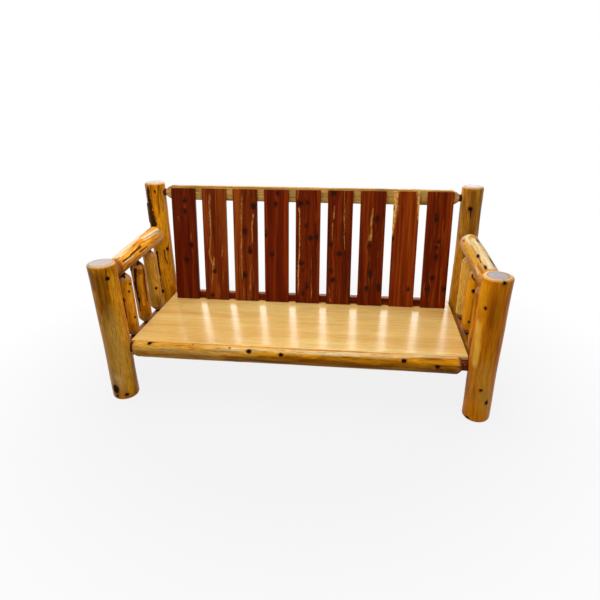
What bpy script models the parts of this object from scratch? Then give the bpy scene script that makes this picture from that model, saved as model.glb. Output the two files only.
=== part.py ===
"""Log sofa: peeled cedar logs on round tenons, a plywood seat deck and a leaning back of red cedar boards.

Metres, +Z up. The sofa faces -Y, stands on Z = 0 and is centred on X and Y.
Left and right are those of someone looking at its front.
Run with: blender --background --python part.py
"""

import math
import random
from dataclasses import dataclass

import bmesh
import bpy
from mathutils import Matrix, Vector

# Layout, between the posts' axes
POST_SPACING_X = 1.747
POST_SPACING_Y = 0.681

# Posts: a sweep carries a post's middle outwards along X, or inwards where it is negative
FRONT_POST_HEIGHT = 0.714
FRONT_POST_DIAMETER = 0.127
FRONT_POST_SWEEP = -0.0025
REAR_POST_HEIGHT = 0.956
REAR_POST_DIAMETER = 0.110
REAR_POST_SWEEP = 0.006
POST_TOP_ROUND = 0.012
POST_FOOT_ROUND = 0.015

# Seat deck, one plywood sheet let into the front and rear seat rails
DECK_TOP = 0.303
DECK_THICKNESS = 0.019
DECK_SETBACK = 0.0257  # front edge behind the front posts' axes
DECK_REAR_LAP = 0.015  # rear edge past the rear posts' axes
DECK_POST_GAP = 0.0055
DECK_EASING = 0.0015

# Seat rails: the drops are from the deck's top or its underside down to the log's axis
FRONT_RAIL_LEFT_DIAMETER = 0.089
FRONT_RAIL_RIGHT_DIAMETER = 0.087
FRONT_RAIL_SETBACK = 0.0197
FRONT_RAIL_LEFT_DROP = 0.0365  # below the deck's top
FRONT_RAIL_RIGHT_DROP = 0.0425
REAR_RAIL_DIAMETER = 0.080
REAR_RAIL_DROP = 0.028  # below the deck's underside
BEARER_DIAMETER = 0.070
BEARER_DROP = 0.025  # below the deck's underside
BEARER_SPACING = 0.540
BEARER_COUNT = 2

# End frames: side rail, arm rail and the spindles between them
SIDE_RAIL_DIAMETER = 0.084
SIDE_RAIL_DROP = 0.096  # below the deck's top
ARM_DROP = 0.074  # arm axis below the front post's top
ARM_RISE = 0.037  # the arm climbs this much to the rear post
LEFT_ARM_FRONT_DIAMETER = 0.086
LEFT_ARM_REAR_DIAMETER = 0.098
RIGHT_ARM_FRONT_DIAMETER = 0.101
RIGHT_ARM_REAR_DIAMETER = 0.100
SPINDLE_COUNT = 3
SPINDLE_LOWER_DIAMETER = 0.072
SPINDLE_UPPER_DIAMETER = 0.074
LEFT_SPINDLE_PITCH = 0.157
LEFT_SPINDLE_SHIFT = -0.015  # the middle spindle from halfway between the posts
RIGHT_SPINDLE_PITCH = 0.178
RIGHT_SPINDLE_SHIFT = 0.022

# Back: boards standing on the deck, leaning on a cleat and on the planed face of the top rail
TOP_RAIL_DIAMETER = 0.083
TOP_RAIL_LEFT_DROP = 0.056  # axis below the rear posts' tops
TOP_RAIL_RIGHT_DROP = 0.064
TOP_RAIL_FLAT = 0.0195  # planed face in front of the axis, halfway along
BOARD_WIDTH = 0.1365
BOARD_THICKNESS = 0.019
BOARD_GAP = 0.0397  # wanted gap, evened out along the row
BOARD_END_GAP = 0.0451  # outer boards from the rear posts, before the row is shifted
BOARD_SHIFT = 0.004  # the row sits this far to the right of the middle
BOARD_FOOT = 0.1205  # boards' rear lower edge in front of the rear posts' axes
BOARD_RISE = 0.027  # board tops above the top rail's axis, along the boards
BOARD_EASING = 0.0015
CLEAT_HEIGHT = 0.038
CLEAT_DEPTH = 0.038

# Round tenons and the shoulders behind them
FRONT_TENON_DIAMETER = 0.0508
RAIL_TENON_DIAMETER = 0.0381
SPINDLE_TENON_DIAMETER = 0.0254
RAIL_TENON_DEPTH = 0.050
SPINDLE_TENON_DEPTH = 0.032
TENON_CHAMFER = 0.002
RAIL_COLLAR = 0.010  # bare tenon between the shoulder and the log that it enters
FRONT_RAIL_LEFT_COLLAR = 0.015
FRONT_RAIL_RIGHT_COLLAR = 0.030
SPINDLE_COLLAR = 0.006
SPINDLE_FOOT_COLLAR = 0.007
RAIL_SHOULDER = 0.026
TOP_RAIL_SHOULDER = 0.045
SPINDLE_SHOULDER = 0.032
SHOULDER_POWER = 1.6  # 1 is a plain cone, 2 a round nose
FIT = 0.0003  # clearance between pieces that touch

# Natural form of the peeled logs: swellings as shares of the radius, and how each turns from end to end
OVAL = 0.016
OVAL_TWIST = 2.0
LOBE = 0.009
LOBE_TWIST = -3.0
WAVE = 0.011
WAVE_TWIST = 4 * math.pi
BODY_FADE = 0.15  # share of a rail over which it returns to round at its shoulders
ARM_SWEEP = 0.004
RAIL_SWEEP = 0.002
SPINDLE_SWEEP = 0.002

# Facets
POST_SEGMENTS = 20
RAIL_SEGMENTS = 16
SPINDLE_SEGMENTS = 12
ROUND_STEPS = 3
EASING_STEPS = 2
RING_PITCH = 0.095
CUT_REACH = 0.100
MERGE = 0.00001
SMOOTH_ANGLE = math.radians(40)

# Colours from the photograph: base colour and roughness, and how far a piece's tone may differ
TONE_SPREAD = 0.08
PEELED_CEDAR = ((0.58, 0.31, 0.075), 0.28)
RED_CEDAR = ((0.20, 0.040, 0.016), 0.32)
PLYWOOD = ((0.66, 0.42, 0.17), 0.25)

# Worked out from the sizes above
FRONT_POST_RADIUS = FRONT_POST_DIAMETER / 2
REAR_POST_RADIUS = REAR_POST_DIAMETER / 2
POST_X = POST_SPACING_X / 2
FRONT_Y = -POST_SPACING_Y / 2 + (FRONT_POST_RADIUS - REAR_POST_RADIUS) / 2
REAR_Y = FRONT_Y + POST_SPACING_Y
DECK_BOTTOM = DECK_TOP - DECK_THICKNESS
DECK_FRONT = FRONT_Y + DECK_SETBACK
DECK_REAR = REAR_Y + DECK_REAR_LAP
ARM_FRONT_Z = FRONT_POST_HEIGHT - ARM_DROP
ARM_REAR_Z = ARM_FRONT_Z + ARM_RISE
SIDE_RAIL_Z = DECK_TOP - SIDE_RAIL_DROP
TOP_RAIL_LEFT_Z = REAR_POST_HEIGHT - TOP_RAIL_LEFT_DROP
TOP_RAIL_RIGHT_Z = REAR_POST_HEIGHT - TOP_RAIL_RIGHT_DROP


@dataclass
class Log:
    """A tenoned log from one carrying log's axis to another's, with each carrier's radius at its end."""

    name: str
    start: Vector
    end: Vector
    start_radius: float
    end_radius: float
    start_reach: float
    end_reach: float
    tenon_radius: float
    tenon_depth: float
    start_collar: float
    end_collar: float
    shoulder: float
    sweep: float
    segments: int

    @property
    def length(self):
        return (self.end - self.start).length

    @property
    def place(self):
        turn = (self.end - self.start).to_track_quat("Z", "Y").to_matrix().to_4x4()
        return Matrix.Translation(self.start) @ turn

    @property
    def body(self):
        """Where the full-round body starts and ends along the log."""
        low = self.start_reach + self.start_collar + self.shoulder
        high = self.length - self.end_reach - self.end_collar - self.shoulder
        return low, high


def clear_scene():
    for old in list(bpy.data.objects):
        bpy.data.objects.remove(old, do_unlink=True)


def new_collection(name):
    made = bpy.data.collections.new(name)
    bpy.context.scene.collection.children.link(made)
    return made


def wood(name, finish, tone):
    """A plain varnished wood of its own for one piece; tone lightens or darkens it a little."""
    colour, roughness = finish
    made = bpy.data.materials.new(name)
    made.use_nodes = True
    shader = made.node_tree.nodes["Principled BSDF"]
    shader.inputs["Base Color"].default_value = (*(channel * tone for channel in colour), 1.0)
    shader.inputs["Roughness"].default_value = roughness
    shader.inputs["Metallic"].default_value = 0.0
    return made


def add_piece(name, mesh, finish, place):
    """Puts a mesh into the model as one named piece."""
    mesh.shade_smooth()
    mesh.set_sharp_from_angle(angle=SMOOTH_ANGLE)
    piece = bpy.data.objects.new(name, mesh)
    tone = random.Random(name).uniform(1 - TONE_SPREAD, 1 + TONE_SPREAD)
    mesh.materials.append(wood(name + "_wood", finish, tone))
    piece.matrix_world = place
    sofa.objects.link(piece)
    return piece


def add_cutter(name, mesh, place):
    cutter = bpy.data.objects.new(name, mesh)
    cutter.matrix_world = place
    cutter.hide_render = True
    cutter.display_type = "WIRE"
    cutters.objects.link(cutter)
    return cutter


def cut(piece, cutter):
    step = piece.modifiers.new(cutter.name, "BOOLEAN")
    step.operation = "DIFFERENCE"
    step.solver = "EXACT"
    step.object = cutter


def box_mesh(name, low, high):
    """A box between two corners."""
    low, high = Vector(low), Vector(high)
    work = bmesh.new()
    bmesh.ops.create_cube(work, size=1.0)
    for vertex in work.verts:
        share = vertex.co + Vector((0.5, 0.5, 0.5))
        vertex.co = Vector(low[k] + (high[k] - low[k]) * share[k] for k in range(3))
    mesh = bpy.data.meshes.new(name)
    work.to_mesh(mesh)
    work.free()
    return mesh


def ease_edges(piece, width):
    step = piece.modifiers.new("eased edges", "BEVEL")
    step.width = width
    step.segments = EASING_STEPS
    step.limit_method = "ANGLE"


def turned_mesh(name, outline, segments):
    """A closed solid turned about Z from (radius, height) points that run from top to bottom."""
    profile = bpy.data.meshes.new(name + "_profile")
    points = [(radius, 0.0, height) for radius, height in outline]
    profile.from_pydata(points, [(k, k + 1) for k in range(len(points) - 1)], [])
    lathe = bpy.data.objects.new(name + "_lathe", profile)
    cutters.objects.link(lathe)
    screw = lathe.modifiers.new("turn", "SCREW")
    screw.axis = "Z"
    screw.angle = 2 * math.pi
    screw.steps = segments
    screw.render_steps = segments
    screw.use_merge_vertices = True
    screw.merge_threshold = MERGE
    graph = bpy.context.evaluated_depsgraph_get()
    mesh = bpy.data.meshes.new_from_object(lathe.evaluated_get(graph))
    bpy.data.objects.remove(lathe, do_unlink=True)
    work = bmesh.new()
    work.from_mesh(mesh)
    bmesh.ops.remove_doubles(work, verts=work.verts, dist=MERGE)
    bmesh.ops.recalc_face_normals(work, faces=work.faces)
    work.to_mesh(mesh)
    work.free()
    mesh.name = name
    return mesh


def body_rings(low, high):
    """Heights of the rings of a log's body, evenly spaced from high down to low."""
    count = max(2, round((high - low) / RING_PITCH))
    return [high + (low - high) * k / count for k in range(count + 1)]


def smooth_step(share):
    share = min(1.0, max(0.0, share))
    return share * share * (3 - 2 * share)


def grow(mesh, name, low, high, sweep, sweep_angle, fade):
    """Gives a turned mesh the oval, lobed, slightly swept form of a real log between two heights."""
    draw = random.Random(name)
    oval_turn, lobe_turn, wave_turn = (draw.uniform(0, 2 * math.pi) for _ in range(3))
    side = Vector((math.cos(sweep_angle), math.sin(sweep_angle), 0.0))
    for vertex in mesh.vertices:
        share = (vertex.co.z - low) / (high - low)
        if not 0.0 <= share <= 1.0:
            continue
        angle = math.atan2(vertex.co.y, vertex.co.x)
        swell = OVAL * math.cos(2 * angle + oval_turn + OVAL_TWIST * share)
        swell += LOBE * math.cos(3 * angle + lobe_turn + LOBE_TWIST * share)
        swell += WAVE * math.sin(angle + wave_turn + WAVE_TWIST * share)
        if fade:
            swell *= smooth_step(share / fade) * smooth_step((1 - share) / fade)
        height = vertex.co.z
        vertex.co *= 1 + swell
        vertex.co += side * sweep * math.sin(math.pi * share)
        vertex.co.z = height


def make_post(name, x, y, height, radius, sweep):
    """A post with rounded ends, standing on the floor; its sweep is outwards from the seat's middle."""
    outline = [(0.0, height)]
    for step in range(ROUND_STEPS + 1):
        turn = math.pi / 2 * step / ROUND_STEPS
        inset = POST_TOP_ROUND * (1 - math.sin(turn))
        outline.append((radius - inset, height - POST_TOP_ROUND * (1 - math.cos(turn))))
    outline += [(radius, ring) for ring in body_rings(POST_FOOT_ROUND, height - POST_TOP_ROUND)[1:]]
    for step in range(1, ROUND_STEPS + 1):
        turn = math.pi / 2 * step / ROUND_STEPS
        inset = POST_FOOT_ROUND * (1 - math.cos(turn))
        outline.append((radius - inset, POST_FOOT_ROUND * (1 - math.sin(turn))))
    outline.append((0.0, 0.0))
    mesh = turned_mesh(name, outline, POST_SEGMENTS)
    outwards = 0.0 if x > 0 else math.pi
    grow(mesh, name, 0.0, height, sweep, outwards, fade=None)
    return add_piece(name, mesh, PEELED_CEDAR, Matrix.Translation((x, y, 0.0)))


def shoulder_points(log, body_radius, rim, away):
    """The rounded shoulder from a body's rim towards its tenon; away is +1 or -1 along the log."""
    points = []
    for step in range(1, ROUND_STEPS + 1):
        share = step / ROUND_STEPS
        radius = log.tenon_radius + (body_radius - log.tenon_radius) * (1 - share**SHOULDER_POWER)
        points.append((radius, rim + away * log.shoulder * share))
    return points


def make_log(log):
    """A log with a round shoulder and a round tenon at each end."""
    low, high = log.body
    foot = log.start_reach - log.tenon_depth
    tip = log.length - log.end_reach + log.tenon_depth
    tenon_face = log.tenon_radius - TENON_CHAMFER
    outline = [(0.0, tip), (tenon_face, tip), (log.tenon_radius, tip - TENON_CHAMFER)]
    outline += reversed(shoulder_points(log, log.end_radius, high, 1))
    for ring in body_rings(low, high):
        share = (ring - low) / (high - low)
        outline.append((log.start_radius + (log.end_radius - log.start_radius) * share, ring))
    outline += shoulder_points(log, log.start_radius, low, -1)
    outline += [(log.tenon_radius, foot + TENON_CHAMFER), (tenon_face, foot), (0.0, foot)]
    mesh = turned_mesh(log.name, outline, log.segments)
    sweep_angle = random.Random(log.name + " sweep").uniform(0, 2 * math.pi)
    grow(mesh, log.name, low, high, log.sweep, sweep_angle, BODY_FADE)
    return add_piece(log.name, mesh, PEELED_CEDAR, log.place)


def bore(piece, log, at_end):
    """Bores a piece for the tenon at one end of a log, with the clearance all round and at the bottom."""
    depth = log.tenon_depth + FIT
    if at_end:
        bottom = log.length - log.end_reach + depth
        mouth = log.length - log.end_reach - log.end_collar
    else:
        bottom = log.start_reach - depth
        mouth = log.start_reach + log.start_collar
    low, high = min(bottom, mouth), max(bottom, mouth)
    radius = log.tenon_radius + FIT
    name = f"{log.name}_{'end' if at_end else 'start'}_bore"
    mesh = turned_mesh(name, [(0.0, high), (radius, high), (radius, low), (0.0, low)], log.segments)
    cut(piece, add_cutter(name, mesh, log.place))


def end_frame(side, sign, arm_front, arm_rear, pitch, shift):
    """One end of the sofa: two posts, a side rail, an arm rail and the spindles between them."""
    x = sign * POST_X
    front = make_post(f"front_{side}_post", x, FRONT_Y, FRONT_POST_HEIGHT, FRONT_POST_RADIUS, FRONT_POST_SWEEP)
    rear = make_post(f"rear_{side}_post", x, REAR_Y, REAR_POST_HEIGHT, REAR_POST_RADIUS, REAR_POST_SWEEP)
    between = dict(
        start_reach=FRONT_POST_RADIUS,
        end_reach=REAR_POST_RADIUS,
        tenon_radius=RAIL_TENON_DIAMETER / 2,
        tenon_depth=RAIL_TENON_DEPTH,
        start_collar=RAIL_COLLAR,
        end_collar=RAIL_COLLAR,
        shoulder=RAIL_SHOULDER,
        sweep=ARM_SWEEP,
        segments=RAIL_SEGMENTS,
    )
    lower = Log(
        f"{side}_side_rail",
        Vector((x, FRONT_Y, SIDE_RAIL_Z)),
        Vector((x, REAR_Y, SIDE_RAIL_Z)),
        SIDE_RAIL_DIAMETER / 2,
        SIDE_RAIL_DIAMETER / 2,
        **between,
    )
    arm = Log(
        f"{side}_arm_rail",
        Vector((x, FRONT_Y, ARM_FRONT_Z)),
        Vector((x, REAR_Y, ARM_REAR_Z)),
        arm_front / 2,
        arm_rear / 2,
        **between,
    )
    rails = {rail.name: make_log(rail) for rail in (lower, arm)}
    for rail in (lower, arm):
        bore(front, rail, at_end=False)
        bore(rear, rail, at_end=True)
    for number in range(1, SPINDLE_COUNT + 1):
        step = number - (SPINDLE_COUNT + 1) / 2
        y = (FRONT_Y + REAR_Y) / 2 + shift + pitch * step
        share = (y - FRONT_Y) / POST_SPACING_Y
        spindle = Log(
            f"{side}_spindle_{number}",
            Vector((x, y, SIDE_RAIL_Z)),
            Vector((x, y, ARM_FRONT_Z + ARM_RISE * share)),
            SPINDLE_LOWER_DIAMETER / 2,
            SPINDLE_UPPER_DIAMETER / 2,
            start_reach=SIDE_RAIL_DIAMETER / 2,
            end_reach=(arm_front + (arm_rear - arm_front) * share) / 2,
            tenon_radius=SPINDLE_TENON_DIAMETER / 2,
            tenon_depth=SPINDLE_TENON_DEPTH,
            start_collar=SPINDLE_FOOT_COLLAR,
            end_collar=SPINDLE_COLLAR,
            shoulder=SPINDLE_SHOULDER,
            sweep=SPINDLE_SWEEP,
            segments=SPINDLE_SEGMENTS,
        )
        make_log(spindle)
        bore(rails[lower.name], spindle, at_end=False)
        bore(rails[arm.name], spindle, at_end=True)
    return front, rear


def cross_rail(name, y, heights, diameters, post_reach, tenon_diameter, collars, shoulder, posts):
    """A log from the left post to the right post, bored into both; pairs run left to right."""
    rail = Log(
        name,
        Vector((-POST_X, y, heights[0])),
        Vector((POST_X, y, heights[1])),
        diameters[0] / 2,
        diameters[1] / 2,
        start_reach=post_reach,
        end_reach=post_reach,
        tenon_radius=tenon_diameter / 2,
        tenon_depth=RAIL_TENON_DEPTH,
        start_collar=collars[0],
        end_collar=collars[1],
        shoulder=shoulder,
        sweep=RAIL_SWEEP,
        segments=RAIL_SEGMENTS,
    )
    left_post, right_post = posts
    bore(left_post, rail, at_end=False)
    bore(right_post, rail, at_end=True)
    return make_log(rail)


def seat(front_posts, rear_posts):
    """Front and rear seat rails, the bearers between them and the deck let into all of them."""
    front_y = FRONT_Y + FRONT_RAIL_SETBACK
    front_reach = math.sqrt(FRONT_POST_RADIUS**2 - FRONT_RAIL_SETBACK**2)
    rear_z = DECK_BOTTOM - REAR_RAIL_DROP
    front_rail = cross_rail(
        "front_seat_rail",
        front_y,
        (DECK_TOP - FRONT_RAIL_LEFT_DROP, DECK_TOP - FRONT_RAIL_RIGHT_DROP),
        (FRONT_RAIL_LEFT_DIAMETER, FRONT_RAIL_RIGHT_DIAMETER),
        front_reach,
        FRONT_TENON_DIAMETER,
        (FRONT_RAIL_LEFT_COLLAR, FRONT_RAIL_RIGHT_COLLAR),
        RAIL_SHOULDER,
        front_posts,
    )
    rear_rail = cross_rail(
        "rear_seat_rail",
        REAR_Y,
        (rear_z, rear_z),
        (REAR_RAIL_DIAMETER, REAR_RAIL_DIAMETER),
        REAR_POST_RADIUS,
        RAIL_TENON_DIAMETER,
        (RAIL_COLLAR, RAIL_COLLAR),
        RAIL_SHOULDER,
        rear_posts,
    )

    # The deck stops short of the posts: at the front by its corners, at the rear by its side edges
    corner = math.sqrt(max(0.0, (FRONT_POST_RADIUS + DECK_POST_GAP) ** 2 - DECK_SETBACK**2))
    half = POST_X - max(corner, REAR_POST_RADIUS + DECK_POST_GAP)
    deck_low = Vector((-half, DECK_FRONT, DECK_BOTTOM))
    deck_high = Vector((half, DECK_REAR, DECK_TOP))
    deck = add_piece("seat_deck", box_mesh("seat_deck", deck_low, deck_high), PLYWOOD, Matrix.Identity(4))
    ease_edges(deck, DECK_EASING)

    room = Vector((FIT, FIT, FIT))
    recess_mesh = box_mesh("deck_recess", deck_low - room, deck_high + room + Vector((0, 0, CUT_REACH)))
    recess = add_cutter("deck_recess", recess_mesh, Matrix.Identity(4))
    crown_low = (-POST_X, front_y - CUT_REACH, DECK_TOP)
    crown_high = (POST_X, front_y + CUT_REACH, DECK_TOP + CUT_REACH)
    crown = add_cutter("planed_crown", box_mesh("planed_crown", crown_low, crown_high), Matrix.Identity(4))
    cut(front_rail, crown)
    cut(front_rail, recess)
    cut(rear_rail, recess)

    bearer_z = DECK_BOTTOM - BEARER_DROP
    taper = (FRONT_RAIL_RIGHT_DIAMETER - FRONT_RAIL_LEFT_DIAMETER) / POST_SPACING_X
    for number in range(1, BEARER_COUNT + 1):
        x = BEARER_SPACING * (number - (BEARER_COUNT + 1) / 2)
        rail_diameter = FRONT_RAIL_LEFT_DIAMETER + taper * (x + POST_X)
        bearer = Log(
            f"seat_bearer_{number}",
            Vector((x, front_y, bearer_z)),
            Vector((x, REAR_Y, bearer_z)),
            BEARER_DIAMETER / 2,
            BEARER_DIAMETER / 2,
            start_reach=rail_diameter / 2,
            end_reach=REAR_RAIL_DIAMETER / 2,
            tenon_radius=SPINDLE_TENON_DIAMETER / 2,
            tenon_depth=SPINDLE_TENON_DEPTH,
            start_collar=SPINDLE_COLLAR,
            end_collar=SPINDLE_COLLAR,
            shoulder=SPINDLE_SHOULDER,
            sweep=SPINDLE_SWEEP,
            segments=SPINDLE_SEGMENTS,
        )
        cut(make_log(bearer), recess)
        bore(front_rail, bearer, at_end=False)
        bore(rear_rail, bearer, at_end=True)


def back(rear_posts):
    """Top rail, cleat and the row of boards that leans on both."""
    top_rail = cross_rail(
        "top_back_rail",
        REAR_Y,
        (TOP_RAIL_LEFT_Z, TOP_RAIL_RIGHT_Z),
        (TOP_RAIL_DIAMETER, TOP_RAIL_DIAMETER),
        REAR_POST_RADIUS,
        RAIL_TENON_DIAMETER,
        (RAIL_COLLAR, RAIL_COLLAR),
        TOP_RAIL_SHOULDER,
        rear_posts,
    )

    # The boards' rear face runs from their rear lower edge to the planed face of the top rail
    foot = Vector((BOARD_SHIFT, REAR_Y - BOARD_FOOT, DECK_TOP + FIT))
    to_rail = Vector((BOARD_SHIFT, REAR_Y, (TOP_RAIL_LEFT_Z + TOP_RAIL_RIGHT_Z) / 2)) - foot
    flat = TOP_RAIL_FLAT + FIT
    lean = math.atan2(to_rail.y, to_rail.z) - math.asin(flat / to_rail.length)
    board_length = math.sqrt(to_rail.length**2 - flat**2) + BOARD_RISE
    leaning = Matrix.Translation(foot) @ Matrix.Rotation(-lean, 4, "X")

    row = POST_SPACING_X - 2 * (REAR_POST_RADIUS + BOARD_END_GAP)
    count = round((row + BOARD_GAP) / (BOARD_WIDTH + BOARD_GAP))
    pitch = (row - BOARD_WIDTH) / (count - 1)
    for number in range(1, count + 1):
        name = f"back_board_{number}"
        left = -row / 2 + pitch * (number - 1)
        mesh = box_mesh(name, (left, -BOARD_THICKNESS, 0.0), (left + BOARD_WIDTH, 0.0, board_length))
        ease_edges(add_piece(name, mesh, RED_CEDAR, leaning), BOARD_EASING)

    cleat_low = (foot.x - row / 2, foot.y, foot.z)
    cleat_high = (foot.x + row / 2, foot.y + CLEAT_DEPTH, foot.z + CLEAT_HEIGHT)
    cleat_mesh = box_mesh("back_cleat", cleat_low, cleat_high)
    cleat = add_piece("back_cleat", cleat_mesh, RED_CEDAR, Matrix.Identity(4))
    plane_low = (-row / 2 - BOARD_END_GAP, -CUT_REACH, -CUT_REACH)
    plane_high = (row / 2 + BOARD_END_GAP, FIT, board_length + CUT_REACH)
    plane = add_cutter("board_plane", box_mesh("board_plane", plane_low, plane_high), leaning)
    cut(top_rail, plane)
    cut(cleat, plane)


clear_scene()
sofa = new_collection("log_sofa")
cutters = new_collection("cutters")
left_front, left_rear = end_frame(
    "left", -1, LEFT_ARM_FRONT_DIAMETER, LEFT_ARM_REAR_DIAMETER, LEFT_SPINDLE_PITCH, LEFT_SPINDLE_SHIFT
)
right_front, right_rear = end_frame(
    "right", 1, RIGHT_ARM_FRONT_DIAMETER, RIGHT_ARM_REAR_DIAMETER, RIGHT_SPINDLE_PITCH, RIGHT_SPINDLE_SHIFT
)
seat((left_front, right_front), (left_rear, right_rear))
back((left_rear, right_rear))
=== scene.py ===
"""Dresses the log sofa: fine logs, boards and a deck of procedural wood, on a pale floor in soft light.

Metres, +Z up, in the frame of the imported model. Left and right are those of someone looking at the front.
Marks in the wood, such as knots and cracks, are placed by the pixel of the photograph where they show.
"""

import math
import random
from dataclasses import dataclass, field
from functools import partial

import bpy
import numpy as np
from mathutils import Matrix, Vector


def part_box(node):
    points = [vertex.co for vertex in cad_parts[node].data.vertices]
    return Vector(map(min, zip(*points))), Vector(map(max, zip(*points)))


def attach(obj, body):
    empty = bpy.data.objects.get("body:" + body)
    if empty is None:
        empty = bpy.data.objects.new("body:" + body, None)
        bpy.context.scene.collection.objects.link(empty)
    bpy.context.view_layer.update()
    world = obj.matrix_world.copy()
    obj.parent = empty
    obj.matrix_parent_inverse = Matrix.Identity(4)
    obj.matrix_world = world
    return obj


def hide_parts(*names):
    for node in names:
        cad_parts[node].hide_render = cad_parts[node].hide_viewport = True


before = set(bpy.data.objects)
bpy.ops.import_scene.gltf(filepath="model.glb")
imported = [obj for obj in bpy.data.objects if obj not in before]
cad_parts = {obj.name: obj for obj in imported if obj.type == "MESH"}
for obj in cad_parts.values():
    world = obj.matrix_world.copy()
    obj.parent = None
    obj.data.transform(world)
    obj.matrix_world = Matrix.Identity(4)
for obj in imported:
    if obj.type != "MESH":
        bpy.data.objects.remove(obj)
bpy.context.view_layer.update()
deck_low, deck_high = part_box("seat_deck")

FULL_TURN = 2 * math.pi
TOUCH = 1e-9

# Camera, fitted to the photograph
PHOTO_SIDE = 600
FOCAL_PIXELS = 469.86
CENTRE_PIXEL_X = 309.74
CENTRE_PIXEL_Y = 300.41
SENSOR_WIDTH = 36.0
CAMERA_PLACE = Vector((0.3040, -2.2371, 1.4230))
CAMERA_YAW = 0.1159
CAMERA_PITCH = 0.4210
CAMERA_ROLL = -0.0080

# Sizes of the solids, repeated from the part; pairs run from a log's start to its end
SIDES = {"left": -1, "right": 1}
POST_X = 0.8735
FRONT_Y = -0.33625
REAR_Y = 0.34475
FRONT_POST_HEIGHT = 0.714
FRONT_POST_RADIUS = 0.0635
FRONT_POST_SWEEP = -0.0025
REAR_POST_HEIGHT = 0.956
REAR_POST_RADIUS = 0.055
REAR_POST_SWEEP = 0.006
POST_TOP_ROUND = 0.012
POST_FOOT_ROUND = 0.015
FRONT_RAIL_SETBACK = 0.0197
FRONT_RAIL_HEIGHTS = (0.2665, 0.2605)
FRONT_RAIL_RADII = (0.0445, 0.0435)
FRONT_RAIL_COLLARS = (0.015, 0.030)
REAR_RAIL_HEIGHTS = (0.256, 0.256)
REAR_RAIL_RADII = (0.040, 0.040)
BEARER_X = 0.270
BEARER_Z = 0.259
BEARER_RADII = (0.035, 0.035)
BEARER_COLLARS = (0.006, 0.006)
SIDE_RAIL_HEIGHTS = (0.207, 0.207)
SIDE_RAIL_RADII = (0.042, 0.042)
ARM_HEIGHTS = (0.640, 0.677)
ARM_RADII = {"left": (0.043, 0.049), "right": (0.0505, 0.050)}
SPINDLE_COUNT = 3
SPINDLE_RADII = (0.036, 0.037)
SPINDLE_COLLARS = (0.007, 0.006)
SPINDLE_PITCH = {"left": 0.157, "right": 0.178}
SPINDLE_SHIFT = {"left": -0.015, "right": 0.022}
TOP_RAIL_HEIGHTS = (0.900, 0.892)
TOP_RAIL_RADII = (0.0415, 0.0415)
TOP_RAIL_FLAT = 0.0195
RAIL_COLLARS = (0.010, 0.010)
RAIL_SWEEP = 0.002
ARM_SWEEP = 0.004
BOARD_COUNT = 9
BOARD_THICKNESS = 0.019
BOARD_FOOT_Y = 0.22425
BOARD_RISE = 0.027
FIT = 0.0003

# Joints: a tenon's radius and depth, and the length of the shoulder behind it
RAIL_JOINT = (0.01905, 0.050, 0.026)
FRONT_RAIL_JOINT = (0.0254, 0.050, 0.026)
TOP_RAIL_JOINT = (0.01905, 0.050, 0.045)
SPINDLE_JOINT = (0.0127, 0.032, 0.032)
SHOULDER_POWER = 1.6

# Natural form of the logs, as in the part: size, lobes, twist and phase of the waves round a log
LOG_WAVES = ((0.016, 2, 2.0, 0.0), (0.009, 3, -3.0, 0.0), (0.011, 1, 4 * math.pi, -math.pi / 2))
BODY_FADE = 0.15

# Flats that the drawknife leaves, one for each area of a log's skin
FLAT_AREA = 0.0050
FLAT_HALF_LENGTHS = (0.06, 0.20)
FLAT_DEPTHS = (0.0004, 0.0015)
FLAT_HALF_TURN = 1.0

# Marks made up for the sides that the photograph doesn't show; pairs are ranges to draw from
HIDDEN_KNOTS_PER_METRE = 11
HIDDEN_KNOT_SIZES = (0.006, 0.016)
HIDDEN_KNOT_STRETCHES = (0.9, 1.6)
HIDDEN_KNOT_DEPTH = 0.001
HIDDEN_LINES_PER_METRE = 9
HIDDEN_KINDS = ("brown", "brown", "gold", "gold", "straw", "crack")
HIDDEN_RUNS = (0.10, 0.35)
HIDDEN_WIDTHS = (0.010, 0.030)
HIDDEN_CRACK_RUNS = (0.05, 0.11)
HIDDEN_CRACK_WIDTHS = (0.003, 0.006)
HIDDEN_LEANS = (-0.15, 0.15)
HIDDEN_TAPERS = (0.3, 1.0)
HIDDEN_STRENGTH = 0.9

# Fineness of the meshes
RING_STEP = 0.0038
RIM_STEPS = 7
CAP_STEP = 0.005
TIP_STEP = 0.00001
MOUTH_STEP = 0.010
BOARD_STEP = 0.0038
DECK_STEP = 0.012
EASING = 0.0015
EASING_PARTS = 3
SHARP_ANGLE = math.radians(40)
SIGHT_ROUNDS = 6

# Marks in the wood, some of which also stand for painted shade and painted highlights; pairs of edges are
# where an effect starts and where it is full
MARK_KINDS = ("knot", "crack", "bark", "pale", "red", "brown", "gold", "straw")
LINE_WOBBLE = 0.0008
LINE_WOBBLE_RUN = 0.017
LINE_FADE = 0.10
LINE_FIELD = 2.0
KNOT_FIELD = 3.0
KNOT_EDGE = 0.006
KNOT_SWELL_REACH = 1.9
KNOT_DIMPLE = 1.6
KNOT_DIMPLE_EDGES = (1.1, 0.6)
KNOT_SWERVE = 0.7
KNOT_SWERVE_REACH = 1.6
BARK_RISE = 0.0035
BARK_EDGES = (0.5, 1.2)
CRACK_DEPTH = 0.0018
CRACK_EDGES = (0.6, 1.4)
RELIEF_FADE = 0.03
GRAIN_SHIFT = 9.0
CUT_EDGES = (0.003, -0.003)
TENON_RINGS = 4
TENON_EDGES = (1.12, 1.03)
CONE_STAIN_EDGES = (0.006, 0.0)
SAWN_EDGES = (0.0016, 0.0004)
RIM_EDGES = (POST_TOP_ROUND, 0.002)
DISC_BLUR = 0.0025
DISC_RADII = {
    "front_left_post": 0.0535,
    "front_right_post": 0.0435,
    "rear_left_post": 0.0480,
    "rear_right_post": 0.0455,
}
DECK_RIM_EDGES = (0.0009, 0.0004)
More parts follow.
